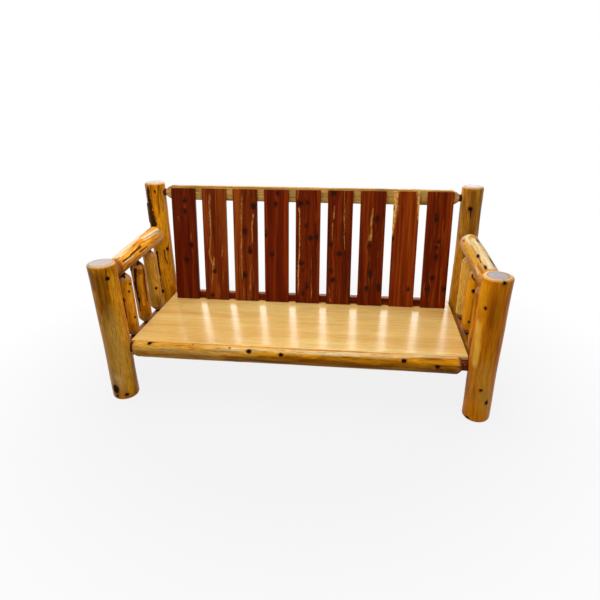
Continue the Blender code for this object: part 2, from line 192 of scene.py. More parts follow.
HEWN_X = 0.56
HEWN_SLOPE = 0.045

# Colours of the woods
WHITE = (1.0, 1.0, 1.0)
AMBER = (1.0, 0.50, 0.10)
CREAM = (0.68, 0.50, 0.235)
HEART_RED = (0.075, 0.010, 0.005)
RED_WOOD = (0.26, 0.070, 0.018)
KNOT_BLACK = (0.006, 0.002, 0.001)
BARK_BROWN = (0.014, 0.005, 0.002)
HALO_BROWN = (0.17, 0.050, 0.006)
STRAW = (0.70, 0.37, 0.060)
CUT_WOOD = (0.66, 0.40, 0.15)
CUT_DARK = (0.44, 0.18, 0.030)
SAPWOOD = (0.80, 0.45, 0.115)
SAPWOOD_DARK = (0.36, 0.105, 0.012)
BOARD_KNOT = (0.020, 0.004, 0.003)
BOARD_HALO = (0.055, 0.006, 0.003)
PLY_DARK = (0.71, 0.41, 0.105)
PLY_MIDDLE = (0.79, 0.50, 0.150)
PLY_LIGHT = (0.85, 0.59, 0.200)
PLY_COUNT = 7
NOISE_RANGE = (0.25, 0.75)
MARK_ONSET = 0.3
RING_WAVES = 1500.0
RING_WANDER = 0.012

# Colour sockets of a mix node, by number
MIX_A = 6
MIX_B = 7
MIX_RESULT = 2

# Light
FRONT_FILL = 0.53
BACK_FILL = 0.32
FILL_TURN = 0.5
FRONT_GLOSS = 0.25
GLOSS_TURN = 0.4
FLOOR_GLOW = 0.86
FLOOR_TONE = 0.30
FLOOR_HALF = 8.0
WHITE_NEAR = 0.9
WHITE_FAR = 1.9
OVERHEAD_PLACE = (-0.3, 0.1, 2.5)
OVERHEAD_TARGET = (-0.1, 0.1, 0.3)
BACKLIGHT_PLACE = (0.0, 2.4, 1.5)
BACKLIGHT_TARGET = (0.0, 0.0, 0.5)


@dataclass
class Knot:
    """A knot seen at a pixel of the photograph, with its sizes across, along and out of the wood."""

    x: float
    y: float
    across: float
    along: float
    depth: float = 0.0012


@dataclass
class Streak:
    """A line of one kind of mark through pixels of the photograph, with its widths at its two ends."""

    kind: str
    pixels: list
    start_width: float
    end_width: float
    strength: float = 1.0
    fade: float = LINE_FADE


@dataclass
class Cut:
    """Wood taken off a log where a point lies beyond all its planes; the edges are (y, z) places."""

    planes: list
    reach: float
    edges: list = field(default_factory=list)


@dataclass
class Stick:
    """A round piece: its place, its rings, the ends of its body and how far that bends."""

    name: str
    place: Matrix
    radii: np.ndarray
    heights: np.ndarray
    low: float
    high: float
    sweep: tuple
    tenoned: bool
    cuts: list = field(default_factory=list)

    def __post_init__(self):
        self.segments = round(FULL_TURN * self.radii.max() / RING_STEP)

    def radius_at(self, height):
        inner = (self.heights > self.heights[0] + TOUCH) & (self.heights < self.heights[-1] - TOUCH)
        return np.interp(height, self.heights[inner], self.radii[inner])

    def share_at(self, height):
        """Where along the body a height is, from 0 to 1."""
        return np.clip((height - self.low) / (self.high - self.low), 0, 1)

    def bend_at(self, height):
        """How far the middle of the log is off its straight axis."""
        bow = np.sin(math.pi * self.share_at(height))
        return self.sweep[0] * bow, self.sweep[1] * bow


@dataclass
class LogLook:
    """Colours of one log's wood, which on some logs also serve for painted shade and painted highlights, and
    how strong its dark dashes are.
    """

    brown: tuple = (0.21, 0.060, 0.001)
    gold: tuple = (0.62, 0.210, 0.003)
    honey: tuple = (0.86, 0.38, 0.014)
    end: tuple = (0.50, 0.43, 0.40)
    pale: tuple = CREAM
    dashes: float = 0.65


@dataclass
class BoardLook:
    """Colours of one board's wood, and how strong its pale threads are."""

    dark: tuple = (0.085, 0.0050, 0.0008)
    red: tuple = (0.150, 0.0115, 0.0012)
    light: tuple = (0.235, 0.0300, 0.0025)
    threads: float = 0.40


# Marks that the photograph shows

# Each of these makes streaks of one kind
crack, bark, pale, red, brown, gold, straw = (partial(Streak, kind) for kind in MARK_KINDS[1:])

LOG_MARKS = {
    "front_left_post": [
        Knot(107, 278.5, 0.015, 0.016), Knot(116, 389, 0.030, 0.046, 0.002),
        Knot(117.5, 395.5, 0.011, 0.011), Knot(127, 394.5, 0.014, 0.012),
        # On this post the brown bands on the left side and the brown lines down its left edge are partly the
        # wood's own tones and partly painted shade; the gold band and the wide pale band on the right side
        # are partly painted light.
        brown([(97, 265), (107, 325), (117, 380)], 0.044, 0.050, 0.9),
        gold([(110.5, 266), (122, 335), (132.5, 400)], 0.036, 0.034, 1.1),
        straw([(100, 312), (105, 335), (114, 385)], 0.020, 0.024, 0.6),
        straw([(109, 290), (125, 405)], 0.080, 0.120, 0.85, 0.4),
        brown([(102, 306), (111, 358)], 0.028, 0.024, 1, 0.3),
        brown([(90.5, 266), (95, 296)], 0.020, 0.020, 1.2, 0.3),
        pale([(112, 325), (127, 410)], 0.100, 0.130, 0.45, 0.3),
        brown([(87, 262), (96, 318)], 0.034, 0.022, 1.2, 0.3),
        brown([(105, 268), (108, 292)], 0.008, 0.006),
    ],
    "front_right_post": [
        Knot(505, 283.5, 0.013, 0.013), Knot(486, 308, 0.010, 0.011), Knot(481, 390.5, 0.011, 0.012),
        Knot(486.5, 402.5, 0.010, 0.016), Knot(467, 417.5, 0.014, 0.010),
        # On this post the gold band on the left side is partly painted light, and the pale strip below it is
        # pale wood with a painted highlight; the brown bands on the right side are partly painted shade.
        gold([(488, 272), (482, 316)], 0.030, 0.030, 1.2, 0.3),
        pale([(479.5, 316), (478, 340), (474, 372)], 0.022, 0.022, 1.5, 0.2),
        straw([(488, 345), (476, 432)], 0.090, 0.110, 0.55, 0.35),
        brown([(502, 264), (491, 345)], 0.056, 0.036, 1.1, 0.45),
        brown([(494, 300), (488, 345), (480, 410)], 0.030, 0.040, 0.5),
    ],
    "rear_left_post": [
        Knot(155, 191.5, 0.007, 0.013), Knot(168.5, 249, 0.012, 0.018), Knot(163.5, 291, 0.020, 0.022),
        bark([(147.8, 178), (149.5, 198), (151.8, 212), (153.8, 221), (156.5, 238)], 0.012, 0.040),
        bark([(147.6, 202), (149.2, 212), (151, 224)], 0.022, 0.016),
        bark([(157.8, 250), (159.3, 263), (161, 277)], 0.012, 0.014, 1.2),
        bark([(161, 277), (163, 297)], 0.010, 0.012, 0.7),
        crack([(165, 249), (166, 257), (169, 265)], 0.006, 0.005, 0.9),
        crack([(169.5, 242), (169, 256)], 0.005, 0.004, 0.8),
        brown([(157, 182), (159.5, 216)], 0.008, 0.006),
        brown([(144, 180), (147, 208)], 0.016, 0.014),
        gold([(164, 205), (169, 245), (173, 290)], 0.030, 0.030),
        gold([(160, 215), (164, 272)], 0.036, 0.030, 1.1),
        brown([(160, 178), (163, 214)], 0.036, 0.030, 0.55),
        straw([(161, 180), (164, 214)], 0.040, 0.030, 0.35),
    ],
    "rear_right_post": [
        Knot(470, 209, 0.019, 0.019),
        crack([(470, 207), (470, 220)], 0.010, 0.005, 0.9),
        brown([(474, 186), (470, 238)], 0.040, 0.050, 0.8),
        gold([(458.5, 236), (450, 310)], 0.044, 0.050, 1.2),
        straw([(465, 184), (460, 236)], 0.030, 0.024, 0.7),
    ],
    "right_arm_rail": [
        Knot(477, 240.5, 0.009, 0.060), Knot(477.3, 256.5, 0.010, 0.036),
        Knot(485.3, 267.5, 0.008, 0.036), Knot(491, 261.5, 0.009, 0.080), Knot(463.8, 241, 0.006, 0.020),
        # Pale streaks over the top of this arm are partly pale wood and partly painted highlight.
        pale([(472, 237), (480, 251), (493, 271)], 0.040, 0.040, 1.2),
        pale([(481, 240), (497, 267)], 0.030, 0.024, 1.2),
        pale([(465, 236), (471.5, 247)], 0.010, 0.007, 1.2),
        pale([(474, 263), (485, 278)], 0.012, 0.016, 0.6),
        brown([(470, 245), (479, 260)], 0.006, 0.005, 0.9),
        brown([(480.5, 261), (486, 272)], 0.005, 0.005, 0.8),
        brown([(479.5, 243), (490, 260)], 0.004, 0.004, 0.7),
        crack([(478.3, 258.5), (480.4, 263.5)], 0.004, 0.003),
        pale([(462, 238), (468, 236), (474, 234)], 0.020, 0.020, 1.2),
        pale([(467, 239), (480, 262)], 0.008, 0.007, 0.9),
        gold([(463, 241), (476, 268)], 0.030, 0.026),
        brown([(466, 247), (473, 261)], 0.008, 0.007),
        gold([(471, 241), (479, 254)], 0.005, 0.004, 0.9),
        gold([(480, 254), (488, 268)], 0.005, 0.004, 0.9),
        brown([(473, 259), (480, 271)], 0.006, 0.005, 0.8),
        gold([(477, 243), (486, 256)], 0.004, 0.004, 0.7),
    ],
    "left_spindle_1": [
        Knot(123.5, 300, 0.011, 0.013), Knot(130, 284, 0.008, 0.009), Knot(129, 291.5, 0.008, 0.009),
        Knot(135, 317, 0.008, 0.009),
        crack([(122.5, 296), (127, 320)], 0.007, 0.004),
        gold([(128, 282), (135, 325)], 0.024, 0.024, 0.8),
        # Painted shadow in the dark gap under the arm, laid across the spindle's top as a bark mark.
        bark([(118.5, 277.5), (122.5, 275), (127.5, 277.5)], 0.007, 0.009, 1.2),
        pale([(120.5, 278.5), (126, 278.5)], 0.006, 0.006),
    ],
    "left_spindle_2": [
        Knot(135, 284, 0.013, 0.018), Knot(139, 300, 0.010, 0.018),
        # Bark down the left side, laid wide and dark so that it also stands as painted shade.
        bark([(133, 260), (135.3, 270), (135.5, 284), (139.3, 303)], 0.016, 0.010, 1.2),
        red([(143.3, 268), (145.5, 285), (148, 303)], 0.012, 0.008, 1.4),
        # Painted shadow in the gap under the arm, laid across the spindle's top as a bark mark.
        bark([(136, 265), (139, 262.5), (142, 265)], 0.010, 0.008, 1.2),
        bark([(134.5, 276), (141.5, 314)], 0.009, 0.006, 0.9),
        bark([(139, 262), (141, 272)], 0.008, 0.004),
        gold([(140, 272), (145, 308)], 0.016, 0.016),
    ],
    "left_spindle_3": [
        Knot(156, 288, 0.010, 0.011),
        straw([(152, 256), (158, 300)], 0.040, 0.040, 0.6),
    ],
    "right_spindle_2": [
        Knot(474, 291.5, 0.015, 0.017), Knot(469, 322, 0.008, 0.010),
        gold([(470, 278), (464, 326)], 0.034, 0.034),
        crack([(472, 274), (476.5, 281)], 0.008, 0.005),
    ],
    "front_seat_rail": [
        Knot(149.5, 342.5, 0.022, 0.018), Knot(192.5, 343.5, 0.006, 0.006),
        Knot(229.5, 348, 0.007, 0.008), Knot(249, 351.5, 0.016, 0.020), Knot(281, 355, 0.012, 0.015),
        Knot(404, 361, 0.014, 0.018), Knot(438, 366.8, 0.012, 0.018),
        straw([(128, 346), (175, 349), (228, 352)], 0.110, 0.090, 0.75),
        straw([(190, 352), (262, 356)], 0.030, 0.020, 0.7),
        pale([(130, 346), (178, 349.5)], 0.030, 0.016, 0.6),
        pale([(158, 351), (236, 355)], 0.016, 0.010, 0.5),
        gold([(236, 352), (330, 357)], 0.024, 0.020, 0.6),
        # A painted highlight along the planed crown, in this pale line; the wide brown band after it is
        # painted shade on the rail's lower side.
        pale([(190, 346.8), (300, 352), (400, 356.3), (468, 359.5)], 0.018, 0.018, 1.4),
        brown([(215, 358.5), (340, 363.8), (470, 370)], 0.030, 0.034, 1.2),
        red([(461, 352), (463.5, 376)], 0.034, 0.034, 0.9),
        red([(147.5, 343), (156, 341)], 0.012, 0.006),
        bark([(430, 370.3), (437.5, 368.8), (446, 370.3)], 0.005, 0.005, 0.9),
        # Painted shade along the bottom edge of the right end.
        brown([(408, 369), (440, 371), (466, 371.5)], 0.020, 0.020, 1.4),
        brown([(424, 364), (464, 366.5)], 0.006, 0.006, 0.9),
        # A painted highlight near the top of the right end.
        pale([(380, 355.6), (461, 359.6)], 0.006, 0.006, 1.2),
        gold([(410, 360.5), (461, 363.5)], 0.022, 0.022, 0.4),
    ],
    "left_arm_rail": [
        # The pale bands on this arm are partly pale wood and partly painted highlight, most of all the band
        # along its upper-left edge.
        pale([(113, 259), (124, 250), (141, 235.5)], 0.026, 0.016, 1.2),
        pale([(119, 258), (134, 245)], 0.008, 0.006, 0.8),
        crack([(122.5, 262.5), (131.5, 255.5)], 0.007, 0.005),
        pale([(125, 262.5), (136, 255)], 0.008, 0.005, 0.8),
        crack([(130.5, 256.5), (142, 245)], 0.008, 0.006),
        crack([(140, 253), (149, 246)], 0.006, 0.004),
        pale([(141, 239.5), (159, 228.5)], 0.012, 0.016),
        pale([(144, 241), (159, 232)], 0.006, 0.008, 0.8),
        brown([(146, 232.5), (156, 226.5)], 0.010, 0.008),
        brown([(143, 243), (158, 234)], 0.008, 0.006, 0.9),
        straw([(119, 270), (150, 246)], 0.014, 0.012, 0.6),
        brown([(112.5, 260), (119, 276)], 0.032, 0.032, 0.9),
        red([(113, 263), (117, 274)], 0.016, 0.016, 0.6),
        red([(133, 254), (143, 246)], 0.010, 0.008, 0.9),
        brown([(126, 267), (150, 248)], 0.005, 0.005, 0.9),
    ],
}
BOARD_MARKS = {
    1: [
        Knot(185, 200, 0.018, 0.024), Knot(185, 211, 0.014, 0.018), Knot(191.4, 245, 0.020, 0.028),
        Knot(187, 259.4, 0.026, 0.026),
        pale([(178, 216), (178.5, 222)], 0.004, 0.003, 0.7),
        pale([(191, 233), (191, 239)], 0.005, 0.003, 0.6),
    ],
    2: [
        Knot(214, 271, 0.020, 0.022), Knot(212.6, 295, 0.015, 0.018),
        pale([(209, 189), (209.5, 212), (211, 236), (209.5, 253), (213, 266), (212, 289)], 0.009, 0.008, 0.8),
        pale([(214, 256), (214, 268)], 0.008, 0.004, 0.9),
        pale([(222.5, 244), (222, 258)], 0.004, 0.003, 0.8),
    ],
    3: [
        Knot(254, 206, 0.024, 0.030), Knot(245, 231, 0.020, 0.028), Knot(250, 250, 0.018, 0.028),
        Knot(244.6, 274.6, 0.022, 0.030),
        pale([(242, 190), (241.5, 215), (241.5, 245), (242, 285)], 0.008, 0.005, 0.7),
        pale([(253.5, 212), (251.8, 228), (252.5, 246)], 0.008, 0.007, 0.9),
        pale([(251, 262), (250, 292)], 0.004, 0.006, 0.6),
    ],
    4: [
        Knot(277.6, 193, 0.013, 0.018), Knot(275.5, 204, 0.013, 0.018), Knot(266, 233, 0.014, 0.024),
        Knot(272, 254.6, 0.018, 0.026),
    ],
    5: [
        Knot(300.5, 203.6, 0.024, 0.020), Knot(307.5, 203, 0.014, 0.018), Knot(306, 225, 0.010, 0.014),
        Knot(310.5, 238, 0.026, 0.024), Knot(316.5, 237, 0.016, 0.018), Knot(301, 263, 0.024, 0.024),
        Knot(302, 270, 0.010, 0.014), Knot(307, 286, 0.012, 0.022), Knot(303, 293, 0.012, 0.016),
        pale([(298, 206), (299.5, 214), (299.5, 245), (298.5, 268), (298, 298)], 0.009, 0.006, 0.9),
        pale([(298.5, 189), (297.5, 200)], 0.006, 0.004, 0.7),
        pale([(311.5, 250), (311, 300)], 0.004, 0.004, 0.6),
    ],
    6: [
        Knot(334, 193, 0.026, 0.022), Knot(340, 254, 0.030, 0.014), Knot(330.6, 244, 0.014, 0.020),
        Knot(330.6, 271, 0.013, 0.018), Knot(333, 280, 0.020, 0.026),
        pale([(334.5, 205), (334, 220)], 0.005, 0.004, 0.8),
        pale([(332.5, 222), (332, 243)], 0.005, 0.004, 0.8),
        pale([(344.6, 182), (344.5, 255)], 0.005, 0.005, 0.8),
        pale([(329, 286), (330.5, 303)], 0.004, 0.007, 0.8),
    ],
    7: [
        Knot(377.5, 219, 0.022, 0.030), Knot(369.5, 246, 0.016, 0.020), Knot(370, 274, 0.016, 0.030),
        Knot(366.5, 289, 0.016, 0.022), Knot(378.5, 287, 0.018, 0.032),
        pale([(373, 206), (371.5, 224), (370, 243)], 0.006, 0.014),
        pale([(369.5, 249), (369, 262)], 0.005, 0.003, 0.6),
    ],
    8: [
        Knot(392.8, 238, 0.008, 0.020), Knot(408, 289, 0.010, 0.014),
        pale([(395.8, 184), (394.3, 212), (392, 238)], 0.030, 0.006, 2),
        pale([(419.6, 184), (418, 222)], 0.020, 0.004, 1.8),
        pale([(399, 205), (398.5, 219)], 0.004, 0.003, 0.7),
    ],
    9: [
        Knot(436.5, 215, 0.011, 0.016), Knot(436.5, 220, 0.014, 0.018), Knot(439, 241, 0.010, 0.014),
        Knot(436, 248, 0.012, 0.012), Knot(436, 257, 0.013, 0.024), Knot(432, 278, 0.018, 0.018),
        Knot(427.5, 288.6, 0.020, 0.020), Knot(443.5, 289, 0.016, 0.022),
    ],
}


# Objects and the camera


def add_object(name, data, place=Matrix.Identity(4)):
    """A new object in the scene."""
    thing = bpy.data.objects.new(name, data)
    thing.matrix_world = place
    bpy.context.scene.collection.objects.link(thing)
    return thing


def aimed(place, direction, axis):
    """A frame at a place, with one of its axes in a direction."""
    return Matrix.Translation(place) @ direction.to_track_quat(axis, "Y").to_matrix().to_4x4()


def camera_axes():
    """The photograph's right, up and ahead directions."""
    flat = math.cos(CAMERA_PITCH)
    ahead = Vector((-math.sin(CAMERA_YAW) * flat, math.cos(CAMERA_YAW) * flat, -math.sin(CAMERA_PITCH)))
    level = Vector((math.cos(CAMERA_YAW), math.sin(CAMERA_YAW), 0.0))
    above = level.cross(ahead)
    right = math.cos(CAMERA_ROLL) * level + math.sin(CAMERA_ROLL) * above
    up = math.cos(CAMERA_ROLL) * above - math.sin(CAMERA_ROLL) * level
    return right, up, ahead


def sight(place, x, y):
    """The camera's place and the ray through a pixel of the photograph, in the frame of a piece."""
    right, up, ahead = camera_axes()
    ray = ahead * FOCAL_PIXELS + right * (x - CENTRE_PIXEL_X) - up * (y - CENTRE_PIXEL_Y)
    into = place.inverted()
    return into @ CAMERA_PLACE, into.to_3x3() @ ray.normalized()


def make_camera():
    right, up, ahead = camera_axes()
    turn = Matrix((right, up, -ahead)).transposed()
    place = Matrix.Translation(CAMERA_PLACE) @ turn.to_4x4()
    camera = add_object("camera", bpy.data.cameras.new("camera"), place)
    camera.data.sensor_width = SENSOR_WIDTH
    camera.data.lens = FOCAL_PIXELS / PHOTO_SIDE * SENSOR_WIDTH
    camera.data.shift_x = (PHOTO_SIDE / 2 - CENTRE_PIXEL_X) / PHOTO_SIDE
    camera.data.shift_y = (CENTRE_PIXEL_Y - PHOTO_SIDE / 2) / PHOTO_SIDE
    bpy.context.scene.camera = camera


# Meshes


def smooth_step(low, high, value):
    share = np.clip((value - low) / (high - low), 0.0, 1.0)
    return share * share * (3 - 2 * share)


def fade_ends(share, fade):
    """1 along most of a run from 0 to 1, going down to 0 at both its ends."""
    return smooth_step(0.0, fade, share) * smooth_step(0.0, fade, 1 - share)


def skin(name, loops):
    """A closed mesh through loops of points, stacked along an axis that they turn about anticlockwise."""
    count, points = loops.shape[:2]
    corner = np.arange(count * points).reshape(count, points)
    beside = np.roll(corner, -1, axis=1)
    sides = np.stack([corner[:-1], beside[:-1], beside[1:], corner[1:]], axis=-1).reshape(-1, 4)
    faces = sides.tolist()
    faces.append(corner[0, ::-1].tolist())
    faces.append(corner[-1].tolist())
    mesh = bpy.data.meshes.new(name)
    mesh.from_pydata(loops.reshape(-1, 3).tolist(), [], faces)
    mesh.shade_smooth()
    mesh.set_sharp_from_angle(angle=SHARP_ANGLE)
    return mesh


def points_of(mesh):
    co = np.empty(len(mesh.vertices) * 3)
    mesh.vertices.foreach_get("co", co)
    return co.reshape(-1, 3)


def store(mesh, name, values):
    """Keeps one number or one vector for each point of a mesh, for its material."""
    kind, key = ("FLOAT_VECTOR", "vector") if values.ndim == 2 else ("FLOAT", "value")
    layer = mesh.attributes.new(name, kind, "POINT")
    layer.data.foreach_set(key, np.ascontiguousarray(values, dtype=np.float32).ravel())


def grain_shift(seed):
    """A shift of the wood's coordinates that gives each piece a grain of its own."""
    draw = random.Random(seed)
    return np.array([draw.uniform(-GRAIN_SHIFT, GRAIN_SHIFT) for _ in range(3)])


def add_piece(name, mesh, node, finish, place=Matrix.Identity(4)):
    piece = add_object(name, mesh, place)
    mesh.materials.append(finish)
    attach(piece, "root")
    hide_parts(node)


# Marks in the wood


def seen_marks(marks, find):
    """Knots and lines that the photograph shows; find gives the place on the wood that a pixel shows."""
    knots = []
    lines = []
    for mark in marks:
        if isinstance(mark, Knot):
            knots.append((find(mark.x, mark.y), mark.across, mark.along, mark.depth))
        else:
            path = [find(x, y) for x, y in mark.pixels]
            widths = (mark.start_width, mark.end_width)
            lines.append((mark.kind, path, widths, mark.strength, mark.fade))
    return knots, lines


def line_field(path, widths, strength, fade, offset, between):
    """2 along a line, 1 at its edges and 0 one half-width beyond them, times its strength."""
    best = 0.0
    spans = len(path) - 1
    for number in range(spans):
        side, rise = offset(path[number])
        side = side + LINE_WOBBLE * np.sin(rise / LINE_WOBBLE_RUN + number)
        to_side, to_rise = between(path[number], path[number + 1])
        share = np.clip((side * to_side + rise * to_rise) / (to_side**2 + to_rise**2), 0.0, 1.0)
        away = np.hypot(side - share * to_side, rise - share * to_rise)
        run = (number + share) / spans
        half = np.interp(run, (0.0, 1.0), widths) / 2
        level = np.clip(LINE_FIELD - away / half, 0.0, LINE_FIELD)
        best = np.maximum(best, level * fade_ends(run, fade))
    return best * strength


def lay_marks(knots, lines, offset, between):
    """Fields of every kind of mark, the relief that they give, and how far they push the grain aside.

    Offset gives every point's distance across and along the grain from a place, and between gives
    one place's distance from another.
    """
    none = np.zeros_like(offset((0.0, 0.0))[1])
    fields = {kind: none for kind in MARK_KINDS}
    relief = none.copy()
    flow = none.copy()
    for place, across, along, depth in knots:
        side, rise = offset(place)
        reach = np.hypot(side / (across / 2), rise / (along / 2))
        sharpness = max(min(across, along) / 2, KNOT_EDGE) / KNOT_EDGE
        level = np.clip(KNOT_FIELD - 1 - (reach - 1) * sharpness, 0.0, KNOT_FIELD)
        fields["knot"] = np.maximum(fields["knot"], level)
        relief += depth * np.exp(-((reach / KNOT_SWELL_REACH) ** 2))
        relief -= depth * KNOT_DIMPLE * smooth_step(*KNOT_DIMPLE_EDGES, reach)
        swerve = 2 * side / across
        nearness = np.exp(-((rise / (KNOT_SWERVE_REACH * along)) ** 2))
        flow -= KNOT_SWERVE * across * swerve / (1 + swerve**2) * nearness
    for kind, path, widths, strength, fade in lines:
        level = line_field(path, widths, strength, fade, offset, between)
        fields[kind] = np.maximum(fields[kind], level)
    relief += BARK_RISE * smooth_step(*BARK_EDGES, fields["bark"])
    relief -= CRACK_DEPTH * smooth_step(*CRACK_EDGES, fields["crack"])
    return fields, relief, flow


# Logs


def natural_swell(stick, angle, height):
    """Share of its radius by which a log's body swells, drawn as in the part."""
    draw = random.Random(stick.name)
    share = stick.share_at(height)
    swell = np.zeros_like(angle)
    for size, lobes, twist, phase in LOG_WAVES:
        turn = draw.uniform(0, FULL_TURN)
        swell += size * np.cos(lobes * angle + turn + twist * share + phase)
    return swell * fade_ends(share, BODY_FADE) if stick.tenoned else swell


def wrapped(turn):
    return (turn + math.pi) % FULL_TURN - math.pi


def shaved_depth(stick, angle, height):
    """How deep the drawknife's flats cut into a log."""
    draw = random.Random(stick.name + " flats")
    radius = stick.radius_at(height)
    deepest = np.zeros_like(angle)
    skin_area = (stick.high - stick.low) * FULL_TURN * stick.radii.max()
    for _ in range(round(skin_area / FLAT_AREA)):
        turn = wrapped(angle - draw.uniform(0, FULL_TURN))
        middle = draw.uniform(stick.low, stick.high)
        half = draw.uniform(*FLAT_HALF_LENGTHS)
        depth = draw.uniform(*FLAT_DEPTHS) * np.clip(1 - ((height - middle) / half) ** 2, 0, 1)
        chord = (radius - depth) / np.cos(np.clip(turn, -FLAT_HALF_TURN, FLAT_HALF_TURN))
        deepest = np.maximum(deepest, (radius - chord) * (depth > 0))
    return deepest


def find_on_stick(stick, x, y):
    """Angle and height on a stick of the point that a pixel of the photograph shows."""
    eye, ray = sight(stick.place, x, y)
    height = (stick.low + stick.high) / 2
    for _ in range(SIGHT_ROUNDS):
        radius = float(stick.radius_at(height))
        a = ray.x**2 + ray.y**2
        b = eye.x * ray.x + eye.y * ray.y
        c = eye.x**2 + eye.y**2 - radius**2
        root = math.sqrt(max(0.0, b * b - a * c))
        hit = eye + ray * ((-b - root) / a)
        height = min(max(hit.z, stick.heights[0]), stick.heights[-1])
    return math.atan2(hit.y, hit.x), height


def unrolled(angle, height, radius, place):
    """Distance across and along the grain from one place on a log's surface."""
    return wrapped(angle - place[0]) * radius, height - place[1]


def faces_away(stick, place):
    """If a place on a log's surface is turned away from the photograph's camera."""
    outward = Vector((math.cos(place[0]), math.sin(place[0]), 0.0))
    surface = outward * float(stick.radius_at(place[1])) + Vector((0.0, 0.0, place[1]))
    return outward.dot(stick.place.inverted() @ CAMERA_PLACE - surface) < 0.0


def hidden_marks(stick):
    """Knots and lines on the sides that the photograph doesn't show."""
    draw = random.Random(stick.name + " hidden marks")
    length = stick.high - stick.low
    knots = []
    for _ in range(round(length * HIDDEN_KNOTS_PER_METRE)):
        place = (draw.uniform(-math.pi, math.pi), draw.uniform(stick.low, stick.high))
        across = draw.uniform(*HIDDEN_KNOT_SIZES)
        along = across * draw.uniform(*HIDDEN_KNOT_STRETCHES)
        if faces_away(stick, place):
            knots.append((place, across, along, HIDDEN_KNOT_DEPTH))
    lines = []
    for _ in range(round(length * HIDDEN_LINES_PER_METRE)):
        kind = draw.choice(HIDDEN_KINDS)
        place = (draw.uniform(-math.pi, math.pi), draw.uniform(stick.low, stick.high))
        run = draw.uniform(*(HIDDEN_CRACK_RUNS if kind == "crack" else HIDDEN_RUNS))
        width = draw.uniform(*(HIDDEN_CRACK_WIDTHS if kind == "crack" else HIDDEN_WIDTHS))
        end = (place[0] + draw.uniform(*HIDDEN_LEANS), min(place[1] + run, stick.high))
        if faces_away(stick, place) and end[1] > place[1]:
            widths = (width, width * draw.uniform(*HIDDEN_TAPERS))
            lines.append((kind, [place, end], widths, HIDDEN_STRENGTH, LINE_FADE))
    return knots, lines


def stick_marks(stick, angle, height):
    """What lay_marks gives for all the marks of a log."""
    radius = stick.radius_at(height)

    def offset(place):
        return unrolled(angle, height, radius, place)

    def between(a, b):
        return unrolled(b[0], b[1], float(stick.radius_at(a[1])), a)

    find = partial(find_on_stick, stick)
    knots, lines = hidden_marks(stick)
    seen_knots, seen_lines = seen_marks(LOG_MARKS.get(stick.name, []), find)
    return lay_marks(knots + seen_knots, lines + seen_lines, offset, between)


def axis_points(stick):
    """World places on the log's straight axis, one for each ring."""
    place = np.array(stick.place)
    return place[:3, 3] + stick.heights[:, None] * place[:3, 2]


def ring_angles(stick):
    """Angles of each ring's points: evenly spread, but with one point on each edge of the log's cuts."""
    columns = np.arange(stick.segments)
    edges = [edge for cut in stick.cuts for edge in cut.edges]
    if not edges:
        return np.tile(FULL_TURN / stick.segments * columns, (len(stick.heights), 1))
    axis = axis_points(stick)
    keys = np.array([np.arctan2(z - axis[:, 2], y - axis[:, 1]) % FULL_TURN for y, z in edges])
    keys = np.sort(keys, axis=0)
    at = np.round(keys.mean(axis=1) / FULL_TURN * stick.segments)
    at = np.append(at, at[0] + stick.segments)
    keys = np.concatenate([keys, keys[:1] + FULL_TURN])
    columns = np.where(columns < at[0], columns + stick.segments, columns)
    return np.array([np.interp(columns, at, ring) for ring in keys.T])


def take_off(points, centres, cut):
    """Draws points in towards their log's axis until they lie outside a cut."""
    ray = points - centres
    share = np.zeros(points.shape[:-1])
    for normal, distance in cut.planes:
        rise = ray @ np.array(normal)
        room = distance - centres @ np.array(normal)
        share = np.maximum(share, np.where(rise > TOUCH, room / np.maximum(rise, TOUCH), np.inf))
    inside = np.abs(points[..., 0]) < cut.reach
    return centres + ray * np.where(inside, np.minimum(share, 1.0), 1.0)[..., None]


def shape_stick(stick):
    """The fine mesh of a log, in its own frame."""
    angle = ring_angles(stick)
    height = np.repeat(stick.heights[:, None], stick.segments, axis=1)
    radius = np.repeat(stick.radii[:, None], stick.segments, axis=1)
    full = radius >= stick.radius_at(height) - TOUCH
    _, relief, _ = stick_marks(stick, angle, height)
    relief -= shaved_depth(stick, angle, height)
    relief *= full * fade_ends(stick.share_at(height), RELIEF_FADE)
    radius = radius * (1 + natural_swell(stick, angle, height)) + relief
    bend_x, bend_y = stick.bend_at(height)
    loops = np.stack([radius * np.cos(angle) + bend_x, radius * np.sin(angle) + bend_y, height], axis=-1)
    if stick.cuts:
        place = np.array(stick.place)
        world = loops @ place[:3, :3].T + place[:3, 3]
        centres = np.repeat(axis_points(stick)[:, None], stick.segments, axis=1)
        for cut in stick.cuts:
            world = take_off(world, centres, cut)
        loops = (world - place[:3, 3]) @ place[:3, :3]
    return skin(stick.name + "_log", loops)


def paint_stick(stick, mesh):
    """Keeps the wood's coordinates and marks on a log's mesh, worked out from where its points are."""
    co = points_of(mesh)
    height = co[:, 2]
    bend_x, bend_y = stick.bend_at(height)
    x = co[:, 0] - bend_x
    y = co[:, 1] - bend_y
    angle = np.arctan2(y, x)
    reach = np.hypot(x, y)
    fields, _, flow = stick_marks(stick, angle, height)
    turned = angle + flow / stick.radius_at(height)
    grain = np.stack([reach * np.cos(turned), reach * np.sin(turned), height], axis=-1)
    store(mesh, "grain", grain + grain_shift(stick.name + " grain"))
    store(mesh, "pith", reach)
    store(mesh, "shaved", np.clip(shaved_depth(stick, angle, height) / FLAT_DEPTHS[1], 0, 1))
    for kind, values in {**fields, **end_marks(stick, reach, height)}.items():
        store(mesh, kind, values)


